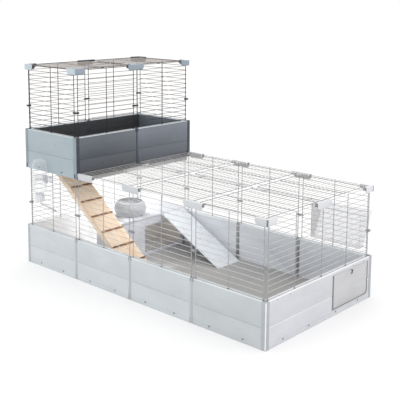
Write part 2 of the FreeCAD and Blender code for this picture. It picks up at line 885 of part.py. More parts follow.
def bottle_outline(inset):
    neck = bottle_neck_radius - inset
    body = bottle_radius - inset
    shoulder_z = bottle_neck_height + bottle_shoulder
    top_z = shoulder_z + bottle_body_height
    dome_z = top_z + bottle_dome_height - inset
    middle = math.radians(45)
    flat = bottle_dome_flat
    bulge = Vector(flat + (body - flat) * math.cos(middle), 0, top_z + (dome_z - top_z) * math.sin(middle))
    edges = [
        Part.makeLine(Vector(neck, 0, 0), Vector(neck, 0, bottle_neck_height)),
        Part.makeLine(Vector(neck, 0, bottle_neck_height), Vector(body, 0, shoulder_z)),
        Part.makeLine(Vector(body, 0, shoulder_z), Vector(body, 0, top_z)),
        Part.Arc(Vector(body, 0, top_z), bulge, Vector(flat, 0, dome_z)).toShape(),
        Part.makeLine(Vector(flat, 0, dome_z), Vector(0, 0, dome_z)),
        Part.makeLine(Vector(0, 0, dome_z), Vector(0, 0, 0)),
        Part.makeLine(Vector(0, 0, 0), Vector(neck, 0, 0)),
    ]
    return turned(edges)


def bottle_body():
    shell = bottle_outline(0).cut(bottle_outline(bottle_wall))
    return moved(shell, bottle_x, bottle_y, neck_z)


def bottle_cap():
    inner = bottle_neck_radius + bottle_fit
    outer = inner + cap_wall
    base = Vector(bottle_x, bottle_y, cap_z)
    solid = Part.makeCylinder(outer, cap_depth + cap_cover, base)
    socket = Part.makeCylinder(inner, cap_cover, base + Vector(0, 0, cap_depth))
    cavity = Part.makeCylinder(bottle_neck_radius - bottle_wall, cap_depth - cap_floor,
                               base + Vector(0, 0, cap_floor))
    bore = Part.makeCylinder(spout_radius + ball_clearance, cap_floor, base)
    return solid.cut([socket, cavity, bore])


def spout_path():
    turn = math.radians(90 - spout_angle)
    direction = Vector(0, math.cos(math.radians(spout_angle)), -math.sin(math.radians(spout_angle)))
    corner = Vector(bottle_x, bottle_y, spout_turn_z)
    start = Vector(bottle_x, bottle_y, cap_z + cap_floor)
    before = corner + Vector(0, 0, spout_tangent)
    after = corner + direction * spout_tangent
    centre = before + Vector(0, spout_bend, 0)
    middle = centre + Vector(0, -math.cos(turn / 2), -math.sin(turn / 2)) * spout_bend
    end = corner + direction * ((front_y + spout_reach - bottle_y) / direction.y)
    bend = Part.Arc(before, middle, after).toShape()
    path = Part.Wire([Part.makeLine(start, before), bend, Part.makeLine(after, end)])
    return path, start, end, direction


def bottle_spout():
    path, start, end, direction = spout_path()
    tubes = []
    for radius in (spout_radius, spout_radius - spout_wall):
        section = Part.Wire(Part.makeCircle(radius, start, Vector(0, 0, 1)))
        tubes.append(path.makePipeShell([section], True, False))
    return tubes[0].cut(tubes[1])


def spout_ball():
    path, start, end, direction = spout_path()
    radius = spout_radius - spout_wall - ball_clearance
    return Part.makeSphere(radius, end - direction * (radius / 2))


def bottle_holder():
    ring_z = neck_z + holder_rise
    inner = bottle_radius + bottle_fit
    outer = inner + holder_wall
    ring = Part.makeCylinder(outer, holder_height, Vector(bottle_x, bottle_y, ring_z))
    ring = ring.cut(Part.makeCylinder(inner, holder_height, Vector(bottle_x, bottle_y, ring_z)))
    ring_top = ring_z + holder_height
    ring = ring.cut(box(bottle_x - outer, bottle_x + outer, bottle_y - outer, bottle_y, ring_z, ring_top))
    plate_y1 = front_y - wall_out - hook_gap
    plate_y0 = plate_y1 - holder_plate
    plate = box(bottle_x - holder_plate_half, bottle_x + holder_plate_half, plate_y0, plate_y1,
                ring_z, ring_top)
    neck_y = bottle_y + inner + holder_wall / 2
    neck = box(bottle_x - holder_neck_half, bottle_x + holder_neck_half, neck_y, plate_y0, ring_z, ring_top)
    rows_up = int((ring_top - thin_wire_z(0)) // thin_step)
    hooks = []
    for side in (-1, 1):
        x = bottle_x + side * holder_hook_half
        hooks.append(moved(wire_hook(plate_y0 - front_y), x, front_y, thin_wire_z(rows_up)))
    return joined([ring, plate, neck] + hooks)


def wire_hook(start):
    # A hook over a thin wire of a wall whose outside is -Y; start is where it leaves its plate
    half = hook_width / 2
    low = wire_thin / 2 + hook_gap
    behind = -thin_offset + wire_thin / 2 + hook_gap
    arm = box(-half, half, start, behind + hook_thickness, low, low + hook_thickness)
    finger = box(-half, half, behind, behind + hook_thickness, -hook_length, low + hook_thickness)
    return arm.fuse(finger)


# Hay feeder: a wedge-shaped bin with slots towards the cage, hung on a wire by two hooks

def hay_feeder():
    # Modelled in the frame of a wall, with the outside to -Y
    back = -wall_out - hook_gap
    half = feeder_length / 2
    top = thin_wire_z(feeder_hook_wire) + wire_thin + hook_gap + hook_thickness
    low = top - feeder_height
    outline = [(back, low), (back, top), (back - feeder_top_depth, top), (back - feeder_bottom_depth, low)]
    slant = (feeder_top_depth - feeder_bottom_depth) / feeder_height
    side = feeder_wall * math.hypot(1, slant)
    at_floor = feeder_bottom_depth + slant * feeder_wall - side
    hollow = [(back - feeder_wall, low + feeder_wall), (back - feeder_wall, top),
              (back - feeder_top_depth + side, top), (back - at_floor, low + feeder_wall)]
    shell = prism([Vector(-half, y, z) for y, z in outline], Vector(feeder_length, 0, 0))
    inside = prism([Vector(-half + feeder_wall, y, z) for y, z in hollow],
                   Vector(feeder_length - 2 * feeder_wall, 0, 0))
    # The side against the wall is open between its rails, so that hay can be pulled through the wire
    open_half = half - feeder_end_rail
    open_back = box(-open_half, open_half, back - feeder_wall, back, low + feeder_rail, top - feeder_rail)
    body = shell.cut([inside, open_back])
    hooks = []
    for x in (-feeder_hook_spread / 2, feeder_hook_spread / 2):
        hooks.append(moved(wire_hook(back - feeder_wall), x=x, z=thin_wire_z(feeder_hook_wire)))
    return joined([body] + hooks)


# Write one file for each named piece

os.makedirs("parts", exist_ok=True)

for unit, walls, level in (("lower", lower_walls, 0.0), ("upper", upper_walls, upper_z)):
    for side, number, x, y, turn, ends in walls:
        if unit == "upper" or side != "right":
            panel = base_panel(pitch / 2, ends, (-screw_offset, screw_offset))
            write("%s_base_%s_%d" % (unit, side, number), moved(panel, x, y, level, turn))

# The right end of the lower cage is one long panel with the door in it
write("door_frame_panel", moved(door_frame(), right_x, 0.0, 0.0, 90))

units = (("lower", left_x, columns, 0.0, False), ("upper", left_x, upper_columns, upper_z, True))
for unit, x0, count, level, with_slot in units:
    corners = [moved(corner_post(with_slot), x, y, level, turn) for x, y, turn in corner_places(x0, count)]
    joints = [moved(joint_post(with_slot), x, y, level, turn) for x, y, turn in joint_places(x0, count)
              if unit == "upper" or x < right_x]
    write(unit + "_posts", corners + joints)

screws = []
for walls, level in ((lower_walls, 0.0), (upper_walls, upper_z)):
    for side, number, x, y, turn, ends in walls:
        for offset in (-screw_offset, screw_offset):
            screws.append(moved(moved(screw(), x=offset, z=screw_height), x, y, level, turn))
write("base_screws", screws)

wall_panel = wall_grid(1)
wire_groups = (
    ("lower", "front", ("front",)), ("lower", "rear", ("rear",)), ("lower", "end", ("left",)),
    ("upper", "end", ("front", "rear")), ("upper", "right", ("right",)), ("upper", "left", ("left",)),
)
for unit, name, sides in wire_groups:
    walls = lower_walls if unit == "lower" else upper_walls
    level = base_height - wire_seat + (0.0 if unit == "lower" else upper_z)
    panels = [moved(wall_panel, x, y, level, turn) for side, number, x, y, turn, ends in walls
              if side in sides]
    if (unit, name) == ("lower", "end"):
        panels.append(moved(wall_grid(rows), right_x, 0.0, level, 90))
    write("%s_%s_wires" % (unit, name), panels)

roof_panel = roof_grid()
hinge_ties = []
hinge_x = roof_half - 2.5 * roof_step
lower_rear = []
for i in range(upper_columns, columns):
    x = left_x + (i + 0.5) * pitch
    flap = moved(roof_panel, x, -pitch / 2, lower_top - roof_drop)
    write("lower_roof_flap_%d" % (i + 1 - upper_columns), flap)
    lower_rear.append(moved(roof_panel, x, pitch / 2, lower_top - roof_drop))
    hinge_ties += [moved(hinge_tie(), x + side * hinge_x, 0, lower_top - roof_drop) for side in (-1, 1)]
write("lower_roof_rear", lower_rear)
upper_x = left_x + pitch / 2
write("upper_roof_flap", moved(roof_panel, upper_x, -pitch / 2, upper_top - roof_drop))
write("upper_roof_rear", moved(roof_panel, upper_x, pitch / 2, upper_top - roof_drop))
hinge_ties += [moved(hinge_tie(), upper_x + side * hinge_x, 0, upper_top - roof_drop) for side in (-1, 1)]
write("roof_hinge_ties", hinge_ties)

tie_z = thin_wire_z(tie_wire - 0.5)
for unit, x0, count, level, with_slot in units:
    ties = [moved(joint_tie(), x, y, level + tie_z, turn) for x, y, turn in joint_places(x0, count)
            if unit == "upper" or x < right_x]
    ties += [moved(corner_tie(), x, y, level + tie_z, turn) for x, y, turn in corner_places(x0, count)]
    write(unit + "_wire_ties", ties)

clip_shift = half_thickness + clip_gap + clip_length / 2
lower_clips = []
for x, y, turn in joint_places(left_x, columns):
    beside_upper = abs(x - upper_right_x) < 1.0
    under_upper = x < upper_right_x - 1.0
    if not under_upper:
        lower_clips.append(moved(joint_clip(), x + (clip_shift if beside_upper else 0.0), y, lower_top, turn))
write("lower_joint_clips", lower_clips)
write("lower_corner_clips", [moved(corner_clip(), x, y, lower_top, turn)
                             for x, y, turn in corner_places(left_x, columns) if x > 0])
write("upper_joint_clips", [moved(joint_clip(), x, y, upper_top, turn)
                            for x, y, turn in joint_places(left_x, upper_columns)])
write("upper_corner_clips", [moved(corner_clip(), x, y, upper_top, turn)
                             for x, y, turn in corner_places(left_x, upper_columns)])

write("upper_cross_rail", moved(cross_rail(), x=upper_right_x, z=upper_z))
write("lower_floor_sheets", lower_floor())
write("upper_floor_front", upper_floor(True))
write("upper_floor_rear", upper_floor(False))

write("door_panel", moved(door_panel(), right_x, 0.0, 0.0, 90))
write("door_hinge_pins", [moved(pin, right_x, 0.0, 0.0, 90) for pin in door_pins()])
write("door_latch", moved(door_latch(), right_x, 0.0, 0.0, 90))

write("ramp_deck", ramp_deck())
write("ramp_stringers", ramp_stringers())
write("ramp_rungs", ramp_rungs())
write("ramp_pivot_rod", ramp_pivot_rod())

write("house_walls", house_walls())
write("house_roof", house_roof())
write("house_ramp", house_ramp())
write("bowl", bowl())

write("bottle_body", bottle_body())
write("bottle_cap", bottle_cap())
write("bottle_spout", bottle_spout())
write("spout_ball", spout_ball())
write("bottle_holder", bottle_holder())

feeder_x = right_x - pitch / 2 + feeder_off_centre
write("hay_feeder", moved(hay_feeder(), feeder_x, rear_y, 0.0, 180))
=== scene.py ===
import json
import math

import bmesh
import bpy
from mathutils import Matrix, Vector


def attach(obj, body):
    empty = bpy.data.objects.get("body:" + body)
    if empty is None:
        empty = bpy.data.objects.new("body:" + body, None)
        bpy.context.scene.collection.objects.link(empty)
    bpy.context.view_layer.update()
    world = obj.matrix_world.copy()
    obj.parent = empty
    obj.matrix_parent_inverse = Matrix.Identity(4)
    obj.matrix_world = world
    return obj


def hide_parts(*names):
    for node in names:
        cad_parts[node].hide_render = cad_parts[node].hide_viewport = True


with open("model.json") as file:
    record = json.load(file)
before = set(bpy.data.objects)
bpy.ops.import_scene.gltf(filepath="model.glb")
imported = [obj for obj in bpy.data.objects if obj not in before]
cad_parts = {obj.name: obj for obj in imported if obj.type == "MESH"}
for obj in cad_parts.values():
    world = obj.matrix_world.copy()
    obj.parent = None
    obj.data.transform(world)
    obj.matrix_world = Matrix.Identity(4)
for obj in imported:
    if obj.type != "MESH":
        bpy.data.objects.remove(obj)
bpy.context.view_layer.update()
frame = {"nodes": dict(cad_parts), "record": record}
nodes = frame["nodes"]
bodies_of = {n: b for b, group in frame["record"]["behaviour"]["bodies"].items() for n in group}
slots_of = {s["node"]: s["material_slot"] for s in frame["record"]["subparts"]}

# Sizes repeated from the part's source, in metres
PITCH = 0.350
LEFT_X = -0.700
RIGHT_X = 0.700
FRONT_Y = -0.350
REAR_Y = 0.350
UPPER_RIGHT_X = -0.350
BASE_HEIGHT = 0.182
WIRE_SEAT = 0.004
WALL_HEIGHT = 0.300
UPPER_Z = 0.457
LOWER_TOP = 0.478
UPPER_TOP = 0.935
THICK = 0.0032
THIN = 0.0024
ROOF_THIN = 0.0018
WELD = 0.0004
EDGE_INSET = 0.011
OVERHANG = 0.002
WALL_WIRES = 14
FIRST_WIRE = 0.012
ROOF_WIRES = 16
ROOF_MARGIN = 0.017
ROOF_DROP = 0.002
THIN_OFFSET = THICK / 2 + THIN / 2 - WELD
POST_OUT = 0.0091
END_FACE = RIGHT_X + 0.0112
RAMP_ANGLE = math.radians(37.5)


# Node helpers for materials

def srgb(r, g, b):
    """A colour from its usual values of 0 to 255."""
    def channel(v):
        v = v / 255
        return v / 12.92 if v <= 0.04045 else ((v + 0.055) / 1.055) ** 2.4
    return (channel(r), channel(g), channel(b), 1.0)


def shaded(colour, factor):
    return tuple(min(c * factor, 1.0) for c in colour[:3]) + (1.0,)


class Nodes:
    """A short way to write a material's node tree."""

    def __init__(self, name):
        self.material = bpy.data.materials.new(name)
        self.material.use_nodes = True
        self.tree = self.material.node_tree
        self.shader = self.tree.nodes["Principled BSDF"]
        self.output = self.tree.nodes["Material Output"]
        self.coords = self.tree.nodes.new("ShaderNodeTexCoord").outputs["Object"]

    def link(self, source, target):
        self.tree.links.new(source, target)

    def set(self, **values):
        for key, value in values.items():
            self.shader.inputs[key.replace("_", " ")].default_value = value

    def mapped(self, scale, turn=(0, 0, 0), source=None):
        node = self.tree.nodes.new("ShaderNodeMapping")
        node.inputs["Scale"].default_value = scale
        node.inputs["Rotation"].default_value = turn
        self.link(source or self.coords, node.inputs["Vector"])
        return node.outputs["Vector"]

    def noise(self, scale, detail=3.0, rough=0.5, source=None, distortion=0.0):
        node = self.tree.nodes.new("ShaderNodeTexNoise")
        node.inputs["Scale"].default_value = scale
        node.inputs["Detail"].default_value = detail
        node.inputs["Roughness"].default_value = rough
        node.inputs["Distortion"].default_value = distortion
        self.link(source or self.coords, node.inputs["Vector"])
        return node.outputs["Fac"]

    def ramp(self, fac, stops):
        node = self.tree.nodes.new("ShaderNodeValToRGB")
        elements = node.color_ramp.elements
        while len(elements) < len(stops):
            elements.new(0.5)
        for element, (place, colour) in zip(elements, stops):
            element.position = place
            element.color = colour
        self.link(fac, node.inputs["Fac"])
        return node.outputs["Color"]

    def span(self, fac, low, high, start=0.3, end=0.7):
        node = self.tree.nodes.new("ShaderNodeMapRange")
        node.inputs["From Min"].default_value = start
        node.inputs["From Max"].default_value = end
        node.inputs["To Min"].default_value = low
        node.inputs["To Max"].default_value = high
        self.link(fac, node.inputs["Value"])
        return node.outputs["Result"]

    def mix(self, fac, first, second, kind="MIX"):
        node = self.tree.nodes.new("ShaderNodeMix")
        node.data_type = "RGBA"
        node.blend_type = kind
        for socket, value in (("Factor", fac), ("A", first), ("B", second)):
            target = [s for s in node.inputs if s.name == socket and s.enabled][0]
            if hasattr(value, "node"):
                self.link(value, target)
            else:
                target.default_value = value
        return [s for s in node.outputs if s.enabled][0]

    def math(self, kind, first, second):
        node = self.tree.nodes.new("ShaderNodeMath")
        node.operation = kind
        for target, value in zip(node.inputs, (first, second)):
            if hasattr(value, "node"):
                self.link(value, target)
            else:
                target.default_value = value
        return node.outputs["Value"]

    def split(self, source=None):
        node = self.tree.nodes.new("ShaderNodeSeparateXYZ")
        self.link(source or self.coords, node.inputs["Vector"])
        return node.outputs

    def bump(self, height, strength, distance):
        node = self.tree.nodes.new("ShaderNodeBump")
        node.inputs["Strength"].default_value = strength
        node.inputs["Distance"].default_value = distance
        self.link(height, node.inputs["Height"])
        self.link(node.outputs["Normal"], self.shader.inputs["Normal"])

    def colour(self, source):
        self.link(source, self.shader.inputs["Base Color"])

    def rough(self, source):
        self.link(source, self.shader.inputs["Roughness"])


def moulded(name, colour, rough=0.45, mottle=0.05, dust=0.04, grain=0.0002, through=0.0, foot=None):
    """Moulded plastic: faint flow marks, a fine spark-eroded grain and a little dust.

    A thin moulding lets a share of the light through. A foot gives the colour that the
    panel fades to towards the bottom, and the heights between which it does: painted shade."""
    n = Nodes(name)
    flow = n.noise(7.0, 4.0, 0.55, n.mapped((1.0, 1.0, 2.4)))
    base = n.ramp(flow, [(0.3, shaded(colour, 1 - mottle)), (0.7, shaded(colour, 1 + mottle))])
    # Painted shade: the colour darkens towards the bottom.
    if foot:
        painted_shade_colour, low, high = foot
        base = n.mix(n.span(n.split()["Z"], 1.0, 0.0, low, high), base, painted_shade_colour)
    specks = n.noise(260.0, 2.0, 0.6)
    fleck = n.span(specks, 0.0, dust, 0.62, 0.75)
    n.colour(n.mix(fleck, base, shaded(colour, 0.72)))
    n.rough(n.span(n.noise(34.0, 3.0, 0.6), rough - 0.07, rough + 0.09))
    n.bump(n.noise(900.0, 2.0, 0.5), 0.25, grain)
    if through:
        glow = n.tree.nodes.new("ShaderNodeBsdfTranslucent")
        n.link(base, glow.inputs["Color"])
        both = n.tree.nodes.new("ShaderNodeMixShader")
        both.inputs["Fac"].default_value = through
        n.link(n.shader.outputs["BSDF"], both.inputs[1])
        n.link(glow.outputs["BSDF"], both.inputs[2])
        n.link(both.outputs["Shader"], n.output.inputs["Surface"])
    return n.material


def floor_sheet(name, colour, pale):
    """The grained floor sheet, with painted light that makes it paler towards its left end."""
    n = Nodes(name)
    flow = n.noise(7.0, 4.0, 0.55)
    along = n.math("ADD", n.split()["X"], n.math("MULTIPLY", flow, 0.06))
    # Painted light: paler towards the left end.
    painted_pale = n.mix(n.span(along, 1.0, 0.0, -0.50, -0.36), colour, pale)
    mottled = n.mix(n.span(flow, 0.0, 0.10), painted_pale, shaded(colour, 0.8))
    specks = n.span(n.noise(260.0, 2.0, 0.6), 0.0, 0.12, 0.62, 0.75)
    n.colour(n.mix(specks, mottled, shaded(colour, 0.72)))
    n.rough(n.span(n.noise(34.0, 3.0, 0.6), 0.53, 0.69))
    n.bump(n.noise(900.0, 2.0, 0.5), 0.25, 0.0004)
    return n.material


def coated_wire(name, colour, metallic, rough, specular=0.5):
    """Drawn wire with a thin coat, a little duller in patches."""
    n = Nodes(name)
    patches = n.noise(60.0, 3.0, 0.6)
    n.colour(n.ramp(patches, [(0.3, shaded(colour, 0.86)), (0.7, shaded(colour, 1.1))]))
    n.rough(n.span(n.noise(220.0, 2.0), rough - 0.08, rough + 0.1))
    n.bump(n.noise(1500.0, 2.0), 0.15, 0.0001)
    n.set(Metallic=metallic, Specular_IOR_Level=specular)
    return n.material


def turned_steel(name, colour, rough):
    """Bare steel with fine turning marks."""
    n = Nodes(name)
    rings = n.noise(500.0, 2.0, 0.5, n.mapped((1.0, 1.0, 0.1)))
    n.colour(n.ramp(rings, [(0.3, shaded(colour, 0.8)), (0.7, shaded(colour, 1.08))]))
    n.rough(n.span(rings, rough - 0.06, rough + 0.1))
    n.bump(rings, 0.2, 0.0001)
    n.set(Metallic=1.0)
    return n.material


def clear_plastic(name, colour, rough, front, edge, streak=0.03):
    """Thin see-through moulding: clearer face on than at its edges, with faint flow streaks."""
    n = Nodes(name)
    flow = n.noise(22.0, 3.0, 0.5, n.mapped((1.0, 1.0, 0.25)))
    n.colour(n.ramp(flow, [(0.3, shaded(colour, 1 - streak)), (0.7, shaded(colour, 1.0))]))
    n.rough(n.span(n.noise(50.0, 2.0), rough * 0.7, rough * 1.4))
    n.bump(n.noise(70.0, 2.0), 0.1, 0.0004)
    weight = n.tree.nodes.new("ShaderNodeLayerWeight")
    weight.inputs["Blend"].default_value = 0.4
    n.link(n.span(weight.outputs["Facing"], front, edge, 0.1, 0.9), n.shader.inputs["Alpha"])
    return n.material


def timber(name, light, dark, turn, rings=34.0, knots=True):
    """Planed pine: long fibres along the board, soft year rings and a few small knots."""
    n = Nodes(name)
    along = n.mapped((1.0, 1.0, 1.0), turn)
    stretched = n.mapped((1.6, rings, rings), (0, 0, 0), along)
    year = n.noise(1.0, 3.0, 0.55, stretched, 0.6)
    fibre = n.noise(1.0, 4.0, 0.7, n.mapped((9.0, 420.0, 420.0), (0, 0, 0), along))
    base = n.ramp(year, [(0.32, light), (0.5, shaded(light, 0.94)), (0.62, dark),
                         (0.72, shaded(light, 0.97))])
    streaks = n.ramp(fibre, [(0.35, shaded(light, 0.8)), (0.6, shaded(light, 1.06))])
    tint = n.mix(0.35, base, streaks, "MULTIPLY")
    body = n.mix(0.6, base, tint)
    if knots:
        cells = n.tree.nodes.new("ShaderNodeTexVoronoi")
        cells.inputs["Scale"].default_value = 1.0
        n.link(n.mapped((6.0, 14.0, 14.0), (0, 0, 0), along), cells.inputs["Vector"])
        spot = n.span(cells.outputs["Distance"], 0.75, 0.0, 0.05, 0.13)
        body = n.mix(spot, body, shaded(dark, 0.55))
    n.colour(body)
    n.rough(n.span(fibre, 0.5, 0.72))
    n.bump(fibre, 0.35, 0.0004)
    return n.material


# Colours read from the photograph

PANEL_GREY = srgb(203, 209, 213)
PANEL_END = srgb(212, 213, 218)
# Painted light: near white for the inner faces at the left end of the lower storey.
PANEL_PALE = srgb(250, 250, 250)
# Painted light: a paler copy of the panel grey for the rear panels inside the cage.
PANEL_INNER = srgb(211, 215, 221)
POST_GREY = srgb(176, 180, 184)
PANEL_BLUE = srgb(164, 177, 184)
PANEL_DARK = srgb(113, 118, 128)
PANEL_REAR = srgb(108, 118, 125)
PINE_LIGHT = srgb(248, 228, 205)
PINE_DARK = srgb(236, 206, 175)
RUNG_LIGHT = srgb(158, 112, 78)
RUNG_DARK = srgb(112, 74, 46)

ramp_turn = (0.0, -RAMP_ANGLE, 0.0)
panel_grey = moulded("panel_grey", PANEL_GREY)
# Painted shade: darker copies of the panel grey for the front panels near the right corner.
panel_grey_3 = moulded("panel_grey_3", srgb(199, 205, 208))
panel_grey_4 = moulded("panel_grey_4", srgb(193, 198, 201))
panel_end = moulded("panel_end", PANEL_END)
# Painted light: the next three are paler copies of the panel grey, for the inner faces at the left
# end, the rear panels 2 to 4 and the inner face of the left rear panel.
panel_pale = moulded("panel_pale", PANEL_PALE)
panel_inner = moulded("panel_inner", PANEL_INNER)
panel_painted_light = moulded("panel_painted_light", srgb(234, 235, 237))
# Painted highlights: the pale rim and plank line of the end panel, and a lighter rim for the other
# lower panels.
panel_rim = moulded("panel_rim", srgb(246, 247, 249), 0.35)
front_rim = moulded("front_rim", srgb(222, 227, 230), 0.4)
# Painted shade for the upright slots in the rear posts.
slot_dark = moulded("slot_dark", srgb(128, 128, 129), 0.5)
socket_grey = moulded("socket_grey", srgb(140, 141, 143), 0.45)
panel_blue = moulded("panel_blue", PANEL_BLUE, 0.34)
panel_dark = moulded("panel_dark", PANEL_DARK, 0.34, mottle=0.08)
# Painted shade: the right panels of the upper storey darken towards the bottom.
panel_dark_1 = moulded("panel_dark_1", srgb(103, 109, 118), 0.34, mottle=0.08,
                       foot=(srgb(66, 69, 74), 0.47, 0.62))
panel_dark_2 = moulded("panel_dark_2", srgb(121, 127, 138), 0.34, mottle=0.08,
                       foot=(srgb(80, 84, 91), 0.47, 0.62))
panel_rear = moulded("panel_rear", PANEL_REAR, 0.5, mottle=0.08)
# Painted shade: a darker copy for the shaded inner left wall of the upper storey.
panel_left = moulded("panel_left", srgb(60, 63, 66), 0.5, mottle=0.08)
# Painted highlight on the rims of the upper panels.
rim_dark = moulded("rim_dark", srgb(205, 211, 217), 0.3)
post_grey = moulded("post_grey", POST_GREY, 0.4)
# Painted shade: a darker copy of the post grey for the posts' inner faces.
post_inner = moulded("post_inner", srgb(150, 152, 154), 0.5)
post_dark = moulded("post_dark", srgb(60, 65, 74), 0.3, mottle=0.08)
# Painted highlight: a pale blue for the front faces of the upper posts.
post_blue = moulded("post_blue", srgb(140, 152, 162), 0.34)
door_grey = moulded("door_grey", srgb(203, 203, 205), 0.5)
# Painted shade for the hinge side of the door; also the colour of the marks under the rim.
seam_grey = moulded("seam_grey", srgb(140, 140, 144), 0.5)
# Painted shade in the gap round the free side of the door.
door_line = moulded("door_line", srgb(132, 132, 136), 0.5)
clip_light = moulded("clip_light", srgb(220, 222, 225), 0.35)
# Painted light and shade on the clips: a darker front and inner face and dark open ends for the lower
# clips, a lighter front face and a darker inner face for the upper clips.
clip_front = moulded("clip_front", srgb(202, 205, 208), 0.35)
clip_inside = moulded("clip_inside", srgb(206, 206, 206), 0.45)
clip_rib = moulded("clip_rib", srgb(246, 246, 247), 0.45)
clip_end = moulded("clip_end", srgb(120, 121, 124), 0.45)
clip_blue = moulded("clip_blue_grey", srgb(150, 163, 175), 0.3)
clip_blue_front = moulded("clip_blue_front", srgb(190, 203, 212), 0.3)
clip_brown = moulded("clip_brown_grey", srgb(96, 92, 91), 0.45)
tie_dark = moulded("tie_dark", srgb(58, 56, 56), 0.4)
tie_light = moulded("tie_light", srgb(150, 151, 154), 0.4)
tie_pale = moulded("tie_pale", srgb(208, 207, 206), 0.4)
# Painted light: the second colour makes the floor pale at its left end.
floor_grey = floor_sheet("floor_grey", srgb(168, 167, 166), srgb(239, 237, 235))
floor_dark = moulded("floor_dark", srgb(72, 75, 79), 0.5, mottle=0.08, dust=0.12, grain=0.0004)
rail_grey = moulded("rail_grey", srgb(176, 176, 177), 0.45)
house_plastic = moulded("house_plastic", srgb(228, 230, 237), 0.32, through=0.12)
# Painted shade: a darker copy of the house plastic for the roof under the upper storey.
house_top = moulded("house_top", srgb(215, 217, 223), 0.32, through=0.12)
# Painted light: a warmer copy of the house plastic for the light inside the house.
house_inner = moulded("house_inner", srgb(222, 217, 212), 0.45, through=0.12)
house_ramp_plastic = moulded("house_ramp_plastic", srgb(229, 233, 238), 0.3, dust=0.0)
cap_plastic = clear_plastic("cap_plastic", srgb(242, 244, 247), 0.3, 0.4, 0.7)
wire_silver = coated_wire("wire_silver", srgb(170, 170, 172), 0.3, 0.38)
wire_silver_thin = coated_wire("wire_silver_thin", srgb(198, 196, 194), 0.2, 0.4)
roof_silver_thin = coated_wire("roof_silver_thin", srgb(180, 177, 174), 0.2, 0.4)
wire_dark = coated_wire("wire_dark", srgb(50, 46, 44), 0.0, 0.5, 0.15)
wire_dark_thin = coated_wire("wire_dark_thin", srgb(136, 128, 122), 0.0, 0.5, 0.15)
roof_dark_thin = coated_wire("roof_dark_thin", srgb(178, 170, 166), 0.0, 0.5, 0.2)
screw_steel = turned_steel("screw_steel", srgb(138, 140, 143), 0.4)
rod_steel = turned_steel("rod_steel", srgb(170, 172, 175), 0.35)
spout_steel = coated_wire("spout_steel", srgb(236, 236, 238), 0.3, 0.3)
pine = timber("pine", PINE_LIGHT, PINE_DARK, ramp_turn)
# Painted light: a paler copy of the pine for the ramp's shaded stringers.
pine_edge = timber("pine_edge", srgb(255, 240, 222), srgb(246, 222, 196), ramp_turn)
brown_wood = timber("brown_wood", RUNG_LIGHT, RUNG_DARK, (0.0, 0.0, math.pi / 2), 60.0, False)
bottle_clear = clear_plastic("bottle_clear", srgb(236, 241, 245), 0.08, 0.04, 0.3)
holder_clear = clear_plastic("holder_clear", srgb(220, 226, 233), 0.12, 0.2, 0.55)
bowl_plastic = clear_plastic("bowl_plastic", srgb(214, 217, 221), 0.14, 0.45, 0.92)
# Painted shade: a darker copy for the inside of the bowl; the edge colour below is a painted highlight
# on its lip.
bowl_inside = clear_plastic("bowl_inside", srgb(168, 169, 172), 0.14, 0.55, 0.9)
bowl_edge = moulded("bowl_edge", srgb(206, 208, 211), 0.2)
feeder_plastic = clear_plastic("feeder_plastic", srgb(247, 248, 251), 0.3, 0.42, 0.7)
# Painted shade: a greyer, less clear copy for the left end of the hay feeder.
feeder_end = clear_plastic("feeder_end", srgb(222, 222, 224), 0.3, 0.9, 0.98)

look_of_slot = {
    "panel_grey": panel_grey, "post_grey": post_grey, "panel_dark": panel_dark,
    "post_dark": post_dark, "wire_silver": wire_silver, "wire_dark": wire_dark,
    "clip_light": clip_light, "clip_blue_grey": clip_blue, "tie_dark": tie_dark,
    "tie_light": tie_light, "screw_steel": screw_steel, "floor_grey": floor_grey,
    "floor_dark": floor_dark, "pine": pine, "brown_wood": brown_wood, "rod_steel": rod_steel,
    "house_plastic": house_plastic, "house_ramp_plastic": house_ramp_plastic,
    "clear_plastic": bottle_clear, "bowl_plastic": bowl_plastic, "cap_plastic": cap_plastic,
    "feeder_plastic": feeder_plastic, "spout_steel": spout_steel,
}
# Painted light and shade by node: darker copies for the house roof, the front panels 3 and 4 and the
# upper left and right panels; paler copies for the ramp stringers and the rear panels 2 to 4.
look_of_node = {
    "door_panel": door_grey, "door_latch": door_grey, "door_frame_panel": panel_end,
    "roof_hinge_ties": tie_pale, "ramp_stringers": pine_edge, "house_roof": house_top,
    "bottle_holder": holder_clear, "upper_cross_rail": rail_grey,
    "lower_base_front_3": panel_grey_3, "lower_base_front_4": panel_grey_4,
    "lower_base_rear_2": panel_inner, "lower_base_rear_3": panel_inner,
    "lower_base_rear_4": panel_inner, "upper_base_front_1": panel_blue,
    "upper_base_rear_1": panel_rear, "upper_base_right_1": panel_dark_1,
    "upper_base_right_2": panel_dark_2, "upper_base_left_1": panel_left,
    "upper_base_left_2": panel_left,
}
for name, obj in nodes.items():
    obj.data.materials.clear()
    obj.data.materials.append(look_of_node.get(name, look_of_slot[slots_of[name]]))


# Helpers for the pieces made here

def new_piece(name, bm, materials, body, smooth_angle=40.0):
    """An object from a finished mesh, riding on a body, with its material slot."""
    mesh = bpy.data.meshes.new(name)
    bm.to_mesh(mesh)
    bm.free()
    obj = bpy.data.objects.new(name, mesh)
    bpy.context.scene.collection.objects.link(obj)
    for face in mesh.polygons:
        face.use_smooth = True
    mesh.set_sharp_from_angle(angle=math.radians(smooth_angle))
    for material in materials:
        mesh.materials.append(material)
    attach(obj, body)
    return obj


